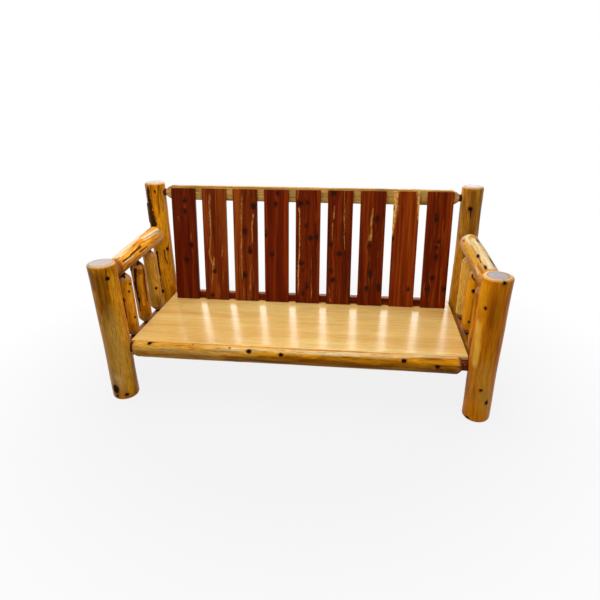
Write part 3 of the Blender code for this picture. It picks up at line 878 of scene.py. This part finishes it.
def end_marks(stick, reach, height):
    """The cut shoulders and bare tenons of a tenoned log, or the sawn ends and rims of a post."""

    def near(low, high, edges):
        return smooth_step(*edges, np.minimum(height - low, high - height))

    if stick.tenoned:
        radius = stick.radii[TENON_RINGS - 1]
        tenon = near(stick.heights[TENON_RINGS], stick.heights[-1 - TENON_RINGS], CONE_STAIN_EDGES)
        tenon = tenon * smooth_step(radius * TENON_EDGES[0], radius * TENON_EDGES[1], reach)
        return {"cut": near(stick.low, stick.high, CUT_EDGES), "tenon": tenon}
    disc = DISC_RADII[stick.name]
    sawn = near(stick.low, stick.high, SAWN_EDGES)
    sawn = sawn * smooth_step(disc + DISC_BLUR, disc - DISC_BLUR, reach)
    return {"end": sawn, "rim": near(stick.low, stick.high, RIM_EDGES)}


def stacked(ends, radii, heights, length):
    """Radii and heights of a stick's rings: its first end, its body, and its other end turned round."""
    (low_radii, low_heights), (high_radii, high_heights) = ends
    all_radii = np.concatenate([low_radii, radii, high_radii[::-1]])
    return all_radii, np.concatenate([low_heights, heights, length - high_heights[::-1]])


def rounded_end(radius, rounding):
    """Radii and heights of the rings from the middle of a post's end to its body."""
    cap = np.arange(CAP_STEP / 2, radius - rounding, CAP_STEP)
    turn = np.linspace(0, math.pi / 2, RIM_STEPS + 1)
    radii = np.concatenate([cap, radius - rounding * (1 - np.sin(turn))])
    return radii, np.concatenate([np.zeros(len(cap)), rounding * (1 - np.cos(turn))])


def post(name, x, y, height, radius, sweep):
    ends = [rounded_end(radius, rounding) for rounding in (POST_FOOT_ROUND, POST_TOP_ROUND)]
    high = height - POST_TOP_ROUND
    body = np.linspace(POST_FOOT_ROUND, high, round((high - POST_FOOT_ROUND) / RING_STEP) + 1)[1:-1]
    rings = stacked(ends, np.full(len(body), radius), body, height)
    return Stick(name, Matrix.Translation((x, y, 0.0)), *rings, 0.0, height, (sweep, 0.0), tenoned=False)


def tenoned_end(radius, reach, collar, joint):
    """Radii and heights of the rings from a tenon's tip to its log's body."""
    tenon, depth, shoulder = joint
    cone = np.linspace(1, 0, RIM_STEPS + 1)[:-1]
    rise = 1 - cone**SHOULDER_POWER
    tip = reach - depth
    radii = np.concatenate([[CAP_STEP / 2, tenon, tenon, tenon], tenon + (radius - tenon) * rise])
    stations = [tip, tip + TIP_STEP, reach - MOUTH_STEP, reach + FIT]
    return radii, np.concatenate([stations, reach + collar + shoulder - shoulder * cone])


def tenoned_log(name, start, end, radii, reaches, collars, joint, sweep, cuts=()):
    """A log from one carrying log's axis to another's, which it leaves at the two reaches."""
    start, end = Vector(start), Vector(end)
    length = (end - start).length
    shoulder = joint[2]
    low = reaches[0] + collars[0] + shoulder
    high = length - reaches[1] - collars[1] - shoulder
    body = np.linspace(low, high, round((high - low) / RING_STEP) + 1)
    ends = [tenoned_end(*sizes, joint) for sizes in zip(radii, reaches, collars)]
    rings = stacked(ends, np.interp(body, (low, high), radii), body, length)
    place = aimed(start, end - start, "Z")
    turn = random.Random(name + " sweep").uniform(0, FULL_TURN)
    bend = (sweep * math.cos(turn), sweep * math.sin(turn))
    return Stick(name, place, *rings, low, high, bend, tenoned=True, cuts=list(cuts))


# Materials


class Nodes:
    """A node tree under construction, with short calls for the nodes that it uses."""

    def __init__(self, owner):
        owner.use_nodes = True
        self.nodes = owner.node_tree.nodes
        self.links = owner.node_tree.links

    def put(self, socket, value):
        if isinstance(value, bpy.types.NodeSocket):
            self.links.new(value, socket)
        elif isinstance(value, tuple) and len(socket.default_value) == 4:
            socket.default_value = (*value, 1.0)
        else:
            socket.default_value = value

    def add(self, kind, values, output=0, **settings):
        """One output of a new node with these settings, whose inputs get values by their name or number."""
        node = self.nodes.new("ShaderNode" + kind)
        for name, setting in settings.items():
            setattr(node, name, setting)
        for key, value in values.items():
            self.put(node.inputs[key], value)
        return node.outputs[output]

    def math(self, operation, a, b=0.0):
        return self.add("Math", {0: a, 1: b}, operation=operation)

    def span(self, value, low, high, to_low=0.0, to_high=1.0):
        """Maps a value from one range to another, held at the ends."""
        levels = {"Value": value, "From Min": low, "From Max": high, "To Min": to_low, "To Max": to_high}
        return self.add("MapRange", levels, "Result")

    def mix(self, share, a, b, blend="MIX"):
        values = {"Factor": share, MIX_A: a, MIX_B: b}
        return self.add("Mix", values, MIX_RESULT, data_type="RGBA", blend_type=blend)

    def rays(self, *kinds):
        """1 for rays of any of these kinds."""
        shown = 0.0
        for kind in kinds:
            shown = self.math("MAXIMUM", shown, self.add("LightPath", {}, kind))
        return shown


class Paint(Nodes):
    """A wood under construction: coats of colour, over coordinates with the grain along one axis."""

    def __init__(self, name, along=2):
        self.material = bpy.data.materials.new(name)
        super().__init__(self.material)
        self.along = along
        self.grain = self.mark("grain", "Vector")

    def mark(self, name, output="Fac"):
        return self.add("Attribute", {}, output, attribute_name=name)

    def part(self, name, share):
        """A share of a mark."""
        return self.math("MULTIPLY", self.mark(name), share)

    def noise(self, scale, stretch, detail=2.0, roughness=0.6, distortion=0.0):
        """Noise whose features are 1 / scale across the grain, and longer along it by 1 / stretch."""
        scales = [1.0, 1.0, 1.0]
        scales[self.along] = stretch
        place = self.add("Mapping", {"Vector": self.grain, "Scale": tuple(scales)}, "Vector")
        values = {"Vector": place, "Scale": scale, "Detail": detail, "Roughness": roughness}
        return self.add("TexNoise", {**values, "Distortion": distortion}, "Fac")

    def torn(self, kind, noise, ragged, low=0.6, high=1.4, most=1.0):
        """Share of a mark at each point, with edges that follow a noise."""
        level = self.mark(kind)
        uneven = self.span(noise, *NOISE_RANGE, -ragged, ragged)
        share = self.span(self.math("ADD", level, uneven), low, high, 0.0, most)
        return self.math("MULTIPLY", share, self.span(level, 0.0, MARK_ONSET))

    def ramp(self, value, stops):
        """The first coat: colours at three levels of a value."""
        node = self.nodes.new("ShaderNodeValToRGB")
        self.put(node.inputs["Fac"], value)
        band = node.color_ramp
        band.elements.new(1.0)
        for element, (level, colour) in zip(band.elements, stops):
            element.position = level
            element.color = (*colour, 1.0)
        self.colour = node.outputs["Color"]

    def lay(self, share, wood):
        self.colour = self.mix(share, self.colour, wood)

    def shaded(self, colour, value, levels, tones):
        """A colour made darker and lighter by a value between two levels."""
        return self.mix(1.0, colour, self.span(value, *levels, *tones), "MULTIPLY")

    def shade(self, value, levels, tones):
        self.colour = self.shaded(self.colour, value, levels, tones)

    def bump(self, height, strength, distance):
        return self.add("Bump", {"Height": height, "Strength": strength, "Distance": distance}, "Normal")

    def finish(self, roughness, normal, specular, tint, coat, coat_roughness, coat_ior=1.5):
        """The material with its colour, its bumps and its varnish."""
        values = {
            "Base Color": self.colour,
            "Roughness": roughness,
            "Normal": normal,
            "Specular IOR Level": specular,
            "Specular Tint": tint,
            "Coat Weight": coat,
            "Coat Roughness": coat_roughness,
            "Coat IOR": coat_ior,
        }
        for name, value in values.items():
            self.put(self.nodes["Principled BSDF"].inputs[name], value)
        return self.material


def log_wood(name, look):
    """Varnished peeled cedar: streaked golden wood with knots, cracks, bark and cut or sawn ends, with
    painted shade and painted highlights laid in among its marks.
    """
    paint = Paint(name)
    broad = paint.noise(22.0, 0.10, detail=3.0, roughness=0.5, distortion=0.3)
    narrow = paint.noise(90.0, 0.09, detail=3.0)
    dashes = paint.noise(180.0, 0.13, distortion=0.2)
    fine = paint.noise(420.0, 0.03)
    grit = paint.noise(150.0, 0.5)
    cloud = paint.noise(11.0, 0.6, roughness=0.5)
    tone = paint.math("ADD", broad, paint.span(narrow, 0.2, 0.8, -0.16, 0.16))
    paint.ramp(tone, [(0.24, look.brown), (0.50, look.gold), (0.78, look.honey)])
    paint.lay(paint.part("cut", 0.75), paint.mix(paint.span(grit, 0.40, 0.60), CUT_DARK, CUT_WOOD))
    # Pale streaks: pale wood, and on the arms, the front-right post and the front rail's crown also painted
    # highlights.
    paint.lay(paint.torn("pale", dashes, ragged=0.8, low=0.2, high=1.5, most=0.95), look.pale)
    # Brown and gold bands: the wood's own tones, and on the front posts and the front rail also painted shade
    # and painted light.
    paint.lay(paint.torn("brown", broad, ragged=0.6, low=0.2, high=1.4, most=0.92), look.brown)
    paint.lay(paint.torn("gold", broad, ragged=0.6, low=0.2, high=1.4, most=0.92), look.honey)
    paint.lay(paint.torn("straw", broad, ragged=0.5, low=0.2, high=1.6, most=0.90), STRAW)
    paint.lay(paint.part("shaved", 0.45), look.honey)
    paint.shade(narrow, levels=(0.30, 0.70), tones=(0.84, 1.12))
    paint.shade(fine, levels=(0.30, 0.65), tones=(0.80, 1.08))
    paint.shade(cloud, levels=(0.35, 0.70), tones=(1.06, 0.88))
    paint.lay(paint.span(dashes, 0.56, 0.70, 0.0, look.dashes), HALO_BROWN)
    paint.shade(dashes, levels=(0.32, 0.44), tones=(1.0 + 0.5 * look.dashes, 1.0))
    paint.lay(paint.torn("knot", narrow, ragged=0.4, low=0.4, high=2.1, most=0.65), HALO_BROWN)
    paint.lay(paint.mark("tenon"), HEART_RED)
    paint.lay(paint.part("rim", 0.60), CREAM)
    red_wood = paint.mix(paint.span(grit, 0.45, 0.65), HEART_RED, RED_WOOD)
    paint.lay(paint.torn("red", grit, ragged=0.5), red_wood)
    # Bark, which on the spindles also stands for painted shade, and for painted shadow under the arms.
    bark_wood = paint.mix(paint.span(fine, 0.45, 0.75), BARK_BROWN, HALO_BROWN)
    bark_edge = dict(ragged=0.6, low=0.6, high=1.0)
    paint.lay(paint.torn("bark", grit, **bark_edge), bark_wood)
    paint.lay(paint.torn("crack", grit, ragged=0.5, low=0.5, high=1.0), HEART_RED)
    paint.lay(paint.torn("knot", grit, ragged=0.5, low=1.30, high=1.75, most=0.8), HEART_RED)
    heart_edge = dict(ragged=0.5, low=1.85, high=2.05)
    paint.lay(paint.torn("knot", grit, **heart_edge), KNOT_BLACK)
    rings = paint.math("ADD", paint.mark("pith"), paint.math("MULTIPLY", cloud, RING_WANDER))
    rings = paint.math("SINE", paint.math("MULTIPLY", rings, RING_WAVES))
    sawn = paint.shaded(look.end, rings, levels=(-1.0, 1.0), tones=(0.78, 1.06))
    end = paint.mark("end")
    paint.lay(end, paint.shaded(sawn, grit, levels=(0.35, 0.60), tones=(0.84, 1.06)))
    outline = paint.math("MULTIPLY", end, paint.math("SUBTRACT", 1.0, end))
    paint.lay(paint.span(outline, 0.05, 0.25, 0.0, 0.75), HALO_BROWN)
    rough = paint.span(fine, 0.3, 0.7, 0.30, 0.44)
    rough = paint.math("ADD", rough, paint.torn("bark", grit, **bark_edge, most=0.4))
    rough = paint.math("ADD", rough, paint.torn("knot", grit, **heart_edge, most=0.4))
    lumps = paint.math("ADD", dashes, paint.math("MULTIPLY", narrow, 1.5))
    normal = paint.bump(paint.math("ADD", fine, lumps), strength=0.30, distance=0.0007)
    return paint.finish(rough, normal, specular=0.11, tint=AMBER, coat=0.02, coat_roughness=0.12)


def red_cedar(name, look):
    """Varnished aromatic cedar: fine upright grain in dark reds, golden sapwood and dark knots."""
    paint = Paint(name)
    broad = paint.noise(26.0, 0.05, detail=3.0, roughness=0.5, distortion=0.4)
    narrow = paint.noise(95.0, 0.022, detail=3.0)
    thread = paint.noise(130.0, 0.05, roughness=0.5, distortion=0.3)
    fine = paint.noise(360.0, 0.012)
    grit = paint.noise(110.0, 0.5)
    tone = paint.math("ADD", broad, paint.span(narrow, 0.2, 0.8, -0.14, 0.14))
    paint.ramp(tone, [(0.34, look.dark), (0.52, look.red), (0.70, look.light)])
    paint.shade(narrow, levels=(0.30, 0.70), tones=(0.74, 1.22))
    paint.shade(fine, levels=(0.30, 0.65), tones=(0.72, 1.12))
    paint.lay(paint.span(thread, 0.60, 0.74, 0.0, look.threads), SAPWOOD_DARK)
    paint.lay(paint.torn("knot", grit, ragged=0.9, low=0.1, high=1.8, most=0.85), BOARD_HALO)
    sapwood = paint.mix(paint.span(grit, 0.34, 0.56), SAPWOOD_DARK, SAPWOOD)
    paint.lay(paint.torn("pale", thread, ragged=0.7, low=0.4, high=2.7), sapwood)
    paint.lay(paint.torn("knot", grit, ragged=1.6, low=1.60, high=2.40, most=0.88), BOARD_KNOT)
    rough = paint.span(fine, 0.3, 0.7, 0.34, 0.46)
    normal = paint.bump(paint.math("ADD", fine, narrow), strength=0.2, distance=0.0004)
    return paint.finish(rough, normal, specular=0.20, tint=AMBER, coat=0.02, coat_roughness=0.2)


def plywood(name):
    """Varnished plywood: fine grain along the sheet, plies at its edges, a bright gloss."""
    paint = Paint(name, along=0)
    broad = paint.noise(10.0, 0.12, detail=3.0, roughness=0.5, distortion=0.6)
    narrow = paint.noise(60.0, 0.03, detail=3.0, roughness=0.55)
    fine = paint.noise(260.0, 0.015)
    ripple = paint.noise(130.0, 0.11, detail=3.0, distortion=0.8)
    paint.ramp(broad, [(0.34, PLY_DARK), (0.52, PLY_MIDDLE), (0.70, PLY_LIGHT)])
    paint.shade(narrow, levels=(0.30, 0.70), tones=(0.94, 1.04))
    paint.shade(fine, levels=(0.32, 0.62), tones=(0.92, 1.03))
    paint.shade(ripple, levels=(0.42, 0.60), tones=(1.04, 0.90))
    plies = paint.math("SINE", paint.part("ply", PLY_COUNT * math.pi))
    paint.lay(paint.mark("edge"), paint.mix(paint.span(plies, -0.15, 0.15), PLY_DARK, PLY_LIGHT))
    rough = paint.span(fine, 0.3, 0.7, 0.20, 0.28)
    lumps = paint.math("ADD", fine, paint.math("MULTIPLY", narrow, 2.0))
    normal = paint.bump(lumps, strength=0.10, distance=0.0004)
    gloss = dict(specular=0.42, tint=WHITE, coat=0.68, coat_roughness=0.18, coat_ior=1.55)
    return paint.finish(rough, normal, **gloss)


# Pieces

# Side rails: the wood is darkened as painted shade, for the shade that falls on them under the deck and the
# arms.
SHADED_SIDE_RAIL_LOOK = LogLook((0.14, 0.040, 0.001), (0.34, 0.110, 0.002), (0.52, 0.20, 0.008))
LOG_LOOKS = {
    # The front-right post's pale colour is that of the strip down its left side, which is partly a painted
    # highlight.
    "front_right_post": LogLook(
        (0.40, 0.098, 0.001),
        (0.74, 0.215, 0.001),
        (0.92, 0.36, 0.006),
        end=(0.36, 0.33, 0.35),
        pale=(1.0, 0.55, 0.070),
        dashes=0.22,
    ),
    "rear_left_post": LogLook((0.22, 0.066, 0.002), (0.68, 0.225, 0.003), (0.90, 0.39, 0.012)),
    "rear_right_post": LogLook((0.24, 0.085, 0.008), (0.58, 0.235, 0.018), (0.84, 0.38, 0.020), dashes=0.55),
    "left_side_rail": SHADED_SIDE_RAIL_LOOK,
    "right_side_rail": SHADED_SIDE_RAIL_LOOK,
    # The arms' pale colours are whitened for the painted highlights along their tops.
    "left_arm_rail": LogLook(gold=(0.78, 0.285, 0.008), honey=(0.95, 0.47, 0.038), pale=(0.80, 0.66, 0.400)),
    "right_arm_rail": LogLook(
        (0.36, 0.110, 0.002), (0.62, 0.245, 0.008), (0.77, 0.38, 0.036), pale=(0.77, 0.66, 0.350)
    ),
    "left_spindle_3": LogLook((0.38, 0.150, 0.006), (0.58, 0.255, 0.012), (0.74, 0.39, 0.040)),
    "right_spindle_1": LogLook(dashes=0.30),
    "right_spindle_2": LogLook((0.44, 0.130, 0.002), (0.74, 0.250, 0.003), (0.88, 0.38, 0.012), dashes=0.30),
    "right_spindle_3": LogLook((0.64, 0.290, 0.022), (0.88, 0.450, 0.050), (0.95, 0.58, 0.110), dashes=0.45),
    "top_back_rail": LogLook((0.33, 0.165, 0.030), (0.46, 0.255, 0.060), (0.57, 0.34, 0.095)),
}


def dress_stick(stick):
    mesh = shape_stick(stick)
    paint_stick(stick, mesh)
    wood = log_wood(stick.name + "_wood", LOG_LOOKS.get(stick.name, LogLook()))
    add_piece(stick.name + "_log", mesh, stick.name, wood, stick.place)


def dress_posts():
    rows = (
        ("front", FRONT_Y, FRONT_POST_HEIGHT, FRONT_POST_RADIUS, FRONT_POST_SWEEP),
        ("rear", REAR_Y, REAR_POST_HEIGHT, REAR_POST_RADIUS, REAR_POST_SWEEP),
    )
    for side, sign in SIDES.items():
        for row, y, height, radius, sweep in rows:
            dress_stick(post(f"{row}_{side}_post", sign * POST_X, y, height, radius, sign * sweep))


def dress_ends():
    """Side rails, arms and spindles of both ends."""
    post_radii = (FRONT_POST_RADIUS, REAR_POST_RADIUS)
    for side, sign in SIDES.items():
        rails = {"side": (SIDE_RAIL_HEIGHTS, SIDE_RAIL_RADII), "arm": (ARM_HEIGHTS, ARM_RADII[side])}
        axes = []
        for kind, (heights, radii) in rails.items():
            front = Vector((sign * POST_X, FRONT_Y, heights[0]))
            rear = Vector((sign * POST_X, REAR_Y, heights[1]))
            axes.append((front, rear))
            joints = (post_radii, RAIL_COLLARS, RAIL_JOINT)
            dress_stick(tenoned_log(f"{side}_{kind}_rail", front, rear, radii, *joints, ARM_SWEEP))
        for number in range(1, SPINDLE_COUNT + 1):
            step = number - (SPINDLE_COUNT + 1) / 2
            y = (FRONT_Y + REAR_Y) / 2 + SPINDLE_SHIFT[side] + SPINDLE_PITCH[side] * step
            share = (y - FRONT_Y) / (REAR_Y - FRONT_Y)
            foot, top = (front.lerp(rear, share) for front, rear in axes)
            reaches = (SIDE_RAIL_RADII[0], float(np.interp(share, (0, 1), ARM_RADII[side])))
            joints = (reaches, SPINDLE_COLLARS, SPINDLE_JOINT)
            name = f"{side}_spindle_{number}"
            dress_stick(tenoned_log(name, foot, top, SPINDLE_RADII, *joints, RAIL_SWEEP))


def cross_rail(name, y, heights, radii, reach, collars, joint, cuts):
    """Dresses a log from the left post to the right post."""
    start = (-POST_X, y, heights[0])
    end = (POST_X, y, heights[1])
    dress_stick(tenoned_log(name, start, end, radii, (reach, reach), collars, joint, RAIL_SWEEP, cuts))


def dress_seat():
    """Front rail planed flush with the deck, rear rail and the bearers between them."""
    front_y = FRONT_Y + FRONT_RAIL_SETBACK
    front_reach = math.sqrt(FRONT_POST_RADIUS**2 - FRONT_RAIL_SETBACK**2)
    under = deck_low.z - FIT
    ahead = deck_low.y - FIT
    behind = deck_high.y + FIT
    reach = deck_high.x + FIT
    up = (0.0, 0.0, 1.0)
    crown = Cut([(up, deck_high.z)], POST_X)
    hewn_normal = Vector((HEWN_SLOPE, 0.0, -1.0)).normalized()
    hewn_start = Vector((HEWN_X, 0.0, FRONT_RAIL_HEIGHTS[1] - FRONT_RAIL_RADII[1]))
    hewn = Cut([(hewn_normal, hewn_normal.dot(hewn_start))], POST_X)
    front_edges = [(ahead, under), (ahead, deck_high.z)]
    front_rabbet = Cut([(up, under), ((0.0, 1.0, 0.0), ahead)], reach, front_edges)
    rear_rabbet = Cut([(up, under), ((0.0, -1.0, 0.0), -behind)], reach, [(behind, under)])
    cross_rail(
        "front_seat_rail",
        front_y,
        FRONT_RAIL_HEIGHTS,
        FRONT_RAIL_RADII,
        front_reach,
        FRONT_RAIL_COLLARS,
        FRONT_RAIL_JOINT,
        [crown, front_rabbet, hewn],
    )
    cross_rail(
        "rear_seat_rail",
        REAR_Y,
        REAR_RAIL_HEIGHTS,
        REAR_RAIL_RADII,
        REAR_POST_RADIUS,
        RAIL_COLLARS,
        RAIL_JOINT,
        [rear_rabbet],
    )
    for number, sign in enumerate(SIDES.values(), start=1):
        x = sign * BEARER_X
        start = (x, front_y, BEARER_Z)
        end = (x, REAR_Y, BEARER_Z)
        reaches = (float(np.interp(x, (-POST_X, POST_X), FRONT_RAIL_RADII)), REAR_RAIL_RADII[0])
        joints = (reaches, BEARER_COLLARS, SPINDLE_JOINT)
        flat = Cut([(up, under)], reach)
        name = f"seat_bearer_{number}"
        dress_stick(tenoned_log(name, start, end, BEARER_RADII, *joints, RAIL_SWEEP, [flat]))


def bar_section(low, high, step):
    """A closed loop round a rectangle with eased corners, points about a step apart."""
    x0, y0 = low[0] + EASING, low[1] + EASING
    x1, y1 = high[0] - EASING, high[1] - EASING
    corners = []
    for x, y, start in ((x1, y0, -90), (x1, y1, 0), (x0, y1, 90), (x0, y0, 180)):
        for part in range(EASING_PARTS + 1):
            turn = math.radians(start + 90 * part / EASING_PARTS)
            corners.append((x + EASING * math.cos(turn), y + EASING * math.sin(turn)))
    sides = []
    for start, end in zip(corners, corners[1:] + corners[:1]):
        count = max(1, round(math.dist(start, end) / step))
        sides.append(np.linspace(start, end, count, endpoint=False))
    return np.concatenate(sides)


def bar_loops(section, low, high, step):
    """Loops of a bar from low to high whose section is drawn in a little at its eased ends."""
    count = max(2, round((high - low - 2 * EASING) / step))
    along = np.concatenate([[low], np.linspace(low + EASING, high - EASING, count + 1), [high]])
    middle = (section.max(axis=0) + section.min(axis=0)) / 2
    half = section.max(axis=0) - middle
    loops = np.empty((len(along), len(section), 3))
    loops[:, :, :2] = section
    loops[:, :, 2] = along[:, None]
    loops[[0, -1], :, :2] = middle + (section - middle) * (1 - EASING / half)
    return loops


def lying_bar(name, section, low, high):
    """A bar along x, from a section in y and z."""
    return skin(name, bar_loops(section, low, high, DECK_STEP)[:, :, [2, 0, 1]])


def dress_deck():
    section = bar_section(deck_low.yz, deck_high.yz, DECK_STEP)
    mesh = lying_bar("seat_deck_sheet", section, deck_low.x, deck_high.x)
    co = points_of(mesh)
    store(mesh, "grain", co)
    store(mesh, "ply", (co[:, 2] - deck_low.z) / (deck_high.z - deck_low.z))
    inset = np.minimum(co - np.array(deck_low), np.array(deck_high) - co)[:, :2].min(axis=1)
    store(mesh, "edge", smooth_step(*DECK_RIM_EDGES, inset))
    add_piece("seat_deck_sheet", mesh, "seat_deck", plywood("deck_plywood"))


def board_place():
    """The leaning frame of the boards' rear faces, and the boards' length."""
    foot = Vector((0.0, BOARD_FOOT_Y, deck_high.z + FIT))
    to_rail = Vector((0.0, REAR_Y, sum(TOP_RAIL_HEIGHTS) / 2)) - foot
    flat = TOP_RAIL_FLAT + FIT
    lean = math.atan2(to_rail.y, to_rail.z) - math.asin(flat / to_rail.length)
    length = math.sqrt(to_rail.length**2 - flat**2) + BOARD_RISE
    return Matrix.Translation(foot) @ Matrix.Rotation(-lean, 4, "X"), length


def board_marks(number, place, co):
    """What lay_marks gives for the marks of a board."""

    def offset(spot):
        return co[:, 0] - spot[0], co[:, 2] - spot[1]

    def between(a, b):
        return b[0] - a[0], b[1] - a[1]

    def find(x, y):
        eye, ray = sight(place, x, y)
        hit = eye + ray * ((-BOARD_THICKNESS - eye.y) / ray.y)
        return hit.x, hit.z

    return lay_marks(*seen_marks(BOARD_MARKS.get(number, []), find), offset, between)


DEEP_RED = BoardLook((0.075, 0.0042, 0.0008), (0.132, 0.0098, 0.0011), (0.207, 0.0260, 0.0022))
BOARD_LOOKS = {
    1: BoardLook((0.078, 0.0045, 0.0014), (0.128, 0.0100, 0.0022), (0.195, 0.0250, 0.0040), 0.10),
    2: BoardLook((0.105, 0.0090, 0.0016), (0.180, 0.0220, 0.0028), (0.260, 0.0480, 0.0050), 0.65),
    3: BoardLook((0.110, 0.0100, 0.0016), (0.190, 0.0240, 0.0028), (0.270, 0.0520, 0.0050), 0.65),
    4: BoardLook((0.082, 0.0040, 0.0008), (0.140, 0.0090, 0.0011), (0.215, 0.0230, 0.0022), 0.15),
    6: DEEP_RED,
    7: DEEP_RED,
    8: BoardLook((0.145, 0.0120, 0.0010), (0.225, 0.0260, 0.0016), (0.305, 0.0500, 0.0030)),
    9: BoardLook((0.100, 0.0060, 0.0009), (0.172, 0.0140, 0.0014), (0.262, 0.0350, 0.0030), 0.80),
}


def dress_back():
    """The boards, the top rail that they lean on and the cleat behind their feet."""
    place, length = board_place()
    forward = place.to_3x3() @ Vector((0.0, -1.0, 0.0))
    flat = Cut([(forward, forward.dot(place.translation) - FIT)], POST_X - REAR_POST_RADIUS)
    cross_rail(
        "top_back_rail",
        REAR_Y,
        TOP_RAIL_HEIGHTS,
        TOP_RAIL_RADII,
        REAR_POST_RADIUS,
        RAIL_COLLARS,
        TOP_RAIL_JOINT,
        [flat],
    )
    for number in range(1, BOARD_COUNT + 1):
        node = f"back_board_{number}"
        board_low, board_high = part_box(node)
        section = bar_section((board_low.x, -BOARD_THICKNESS), (board_high.x, 0.0), BOARD_STEP)
        mesh = skin(node + "_plank", bar_loops(section, 0.0, length, BOARD_STEP))
        co = points_of(mesh)
        fields, _, flow = board_marks(number, place, co)
        grain = co + grain_shift(f"board {number} grain")
        grain[:, 0] += flow
        store(mesh, "grain", grain)
        for kind in ("knot", "pale"):
            store(mesh, kind, fields[kind])
        wood = red_cedar(node + "_wood", BOARD_LOOKS.get(number, BoardLook()))
        add_piece(node + "_plank", mesh, node, wood, place)
    dress_cleat(forward, place)


def dress_cleat(forward, place):
    """A square strip of plain wood on the deck, planed in front to the boards' lean."""
    cleat_low, cleat_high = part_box("back_cleat")
    section = bar_section(cleat_low.yz, cleat_high.yz, BOARD_STEP)
    beyond = (section - np.array(place.translation.yz)) @ np.array(forward.yz) + FIT
    section[:, 0] += np.clip(beyond, 0, None) / -forward.y
    mesh = lying_bar("back_cleat_strip", section, cleat_low.x, cleat_high.x)
    store(mesh, "grain", points_of(mesh)[:, [1, 2, 0]])
    wood = red_cedar("back_cleat_wood", BoardLook())
    add_piece("back_cleat_strip", mesh, "back_cleat", wood)


# Stage


def make_world():
    """A white studio: its light is stronger from the front, and what gloss mirrors is brighter behind."""
    world = bpy.data.worlds.new("studio")
    bpy.context.scene.world = world
    tree = Nodes(world)
    depth = tree.add("SeparateXYZ", {0: tree.add("TexCoord", {}, "Generated")}, "Y")
    fill = tree.span(depth, -FILL_TURN, FILL_TURN, FRONT_FILL, BACK_FILL)
    gloss = tree.span(depth, -GLOSS_TURN, GLOSS_TURN, FRONT_GLOSS, 1.0)
    light = tree.span(tree.rays("Is Glossy Ray"), 0.0, 1.0, fill, gloss)
    seen = tree.rays("Is Camera Ray", "Is Transmission Ray")
    background = tree.nodes["Background"]
    tree.put(background.inputs["Color"], WHITE)
    tree.put(background.inputs["Strength"], tree.span(seen, 0.0, 1.0, light, 1.0))


def make_floor():
    """A pale floor that keeps the sofa's shadow and goes over into the white background."""
    corners = [(x * FLOOR_HALF, y * FLOOR_HALF, 0.0) for x, y in ((-1, -1), (1, -1), (1, 1), (-1, 1))]
    mesh = bpy.data.meshes.new("floor")
    mesh.from_pydata(corners, [], [(0, 1, 2, 3)])
    floor = add_object("floor", mesh)
    material = bpy.data.materials.new("floor_paint")
    mesh.materials.append(material)
    tree = Nodes(material)
    tree.nodes.remove(tree.nodes["Principled BSDF"])
    matt = tree.add("BsdfDiffuse", {"Color": (FLOOR_TONE, FLOOR_TONE, FLOOR_TONE)})
    glow = tree.add("Emission", {})
    away = tree.add("VectorMath", {0: tree.add("NewGeometry", {}, "Position")}, "Value", operation="LENGTH")
    white = tree.span(away, WHITE_NEAR, WHITE_FAR, FLOOR_GLOW, 1.0)
    seen = tree.rays("Is Camera Ray", "Is Transmission Ray", "Is Glossy Ray")
    blend = tree.add("MixShader", {0: tree.math("MULTIPLY", seen, white), 1: matt, 2: glow})
    tree.put(tree.nodes["Material Output"].inputs["Surface"], blend)


def add_softbox(name, place, target, width, depth, power):
    lamp = bpy.data.lights.new(name, "AREA")
    lamp.shape = "RECTANGLE"
    lamp.size = width
    lamp.size_y = depth
    lamp.energy = power
    softbox = add_object(name, lamp, aimed(place, Vector(target) - Vector(place), "-Z"))
    softbox.visible_camera = False


make_camera()
make_world()
make_floor()
add_softbox("overhead", OVERHEAD_PLACE, OVERHEAD_TARGET, width=3.2, depth=1.9, power=60.0)
add_softbox("backlight", BACKLIGHT_PLACE, BACKLIGHT_TARGET, width=3.4, depth=1.8, power=30.0)
dress_posts()
dress_ends()
dress_seat()
dress_deck()
dress_back()
bpy.context.scene.view_settings.view_transform = "Standard"
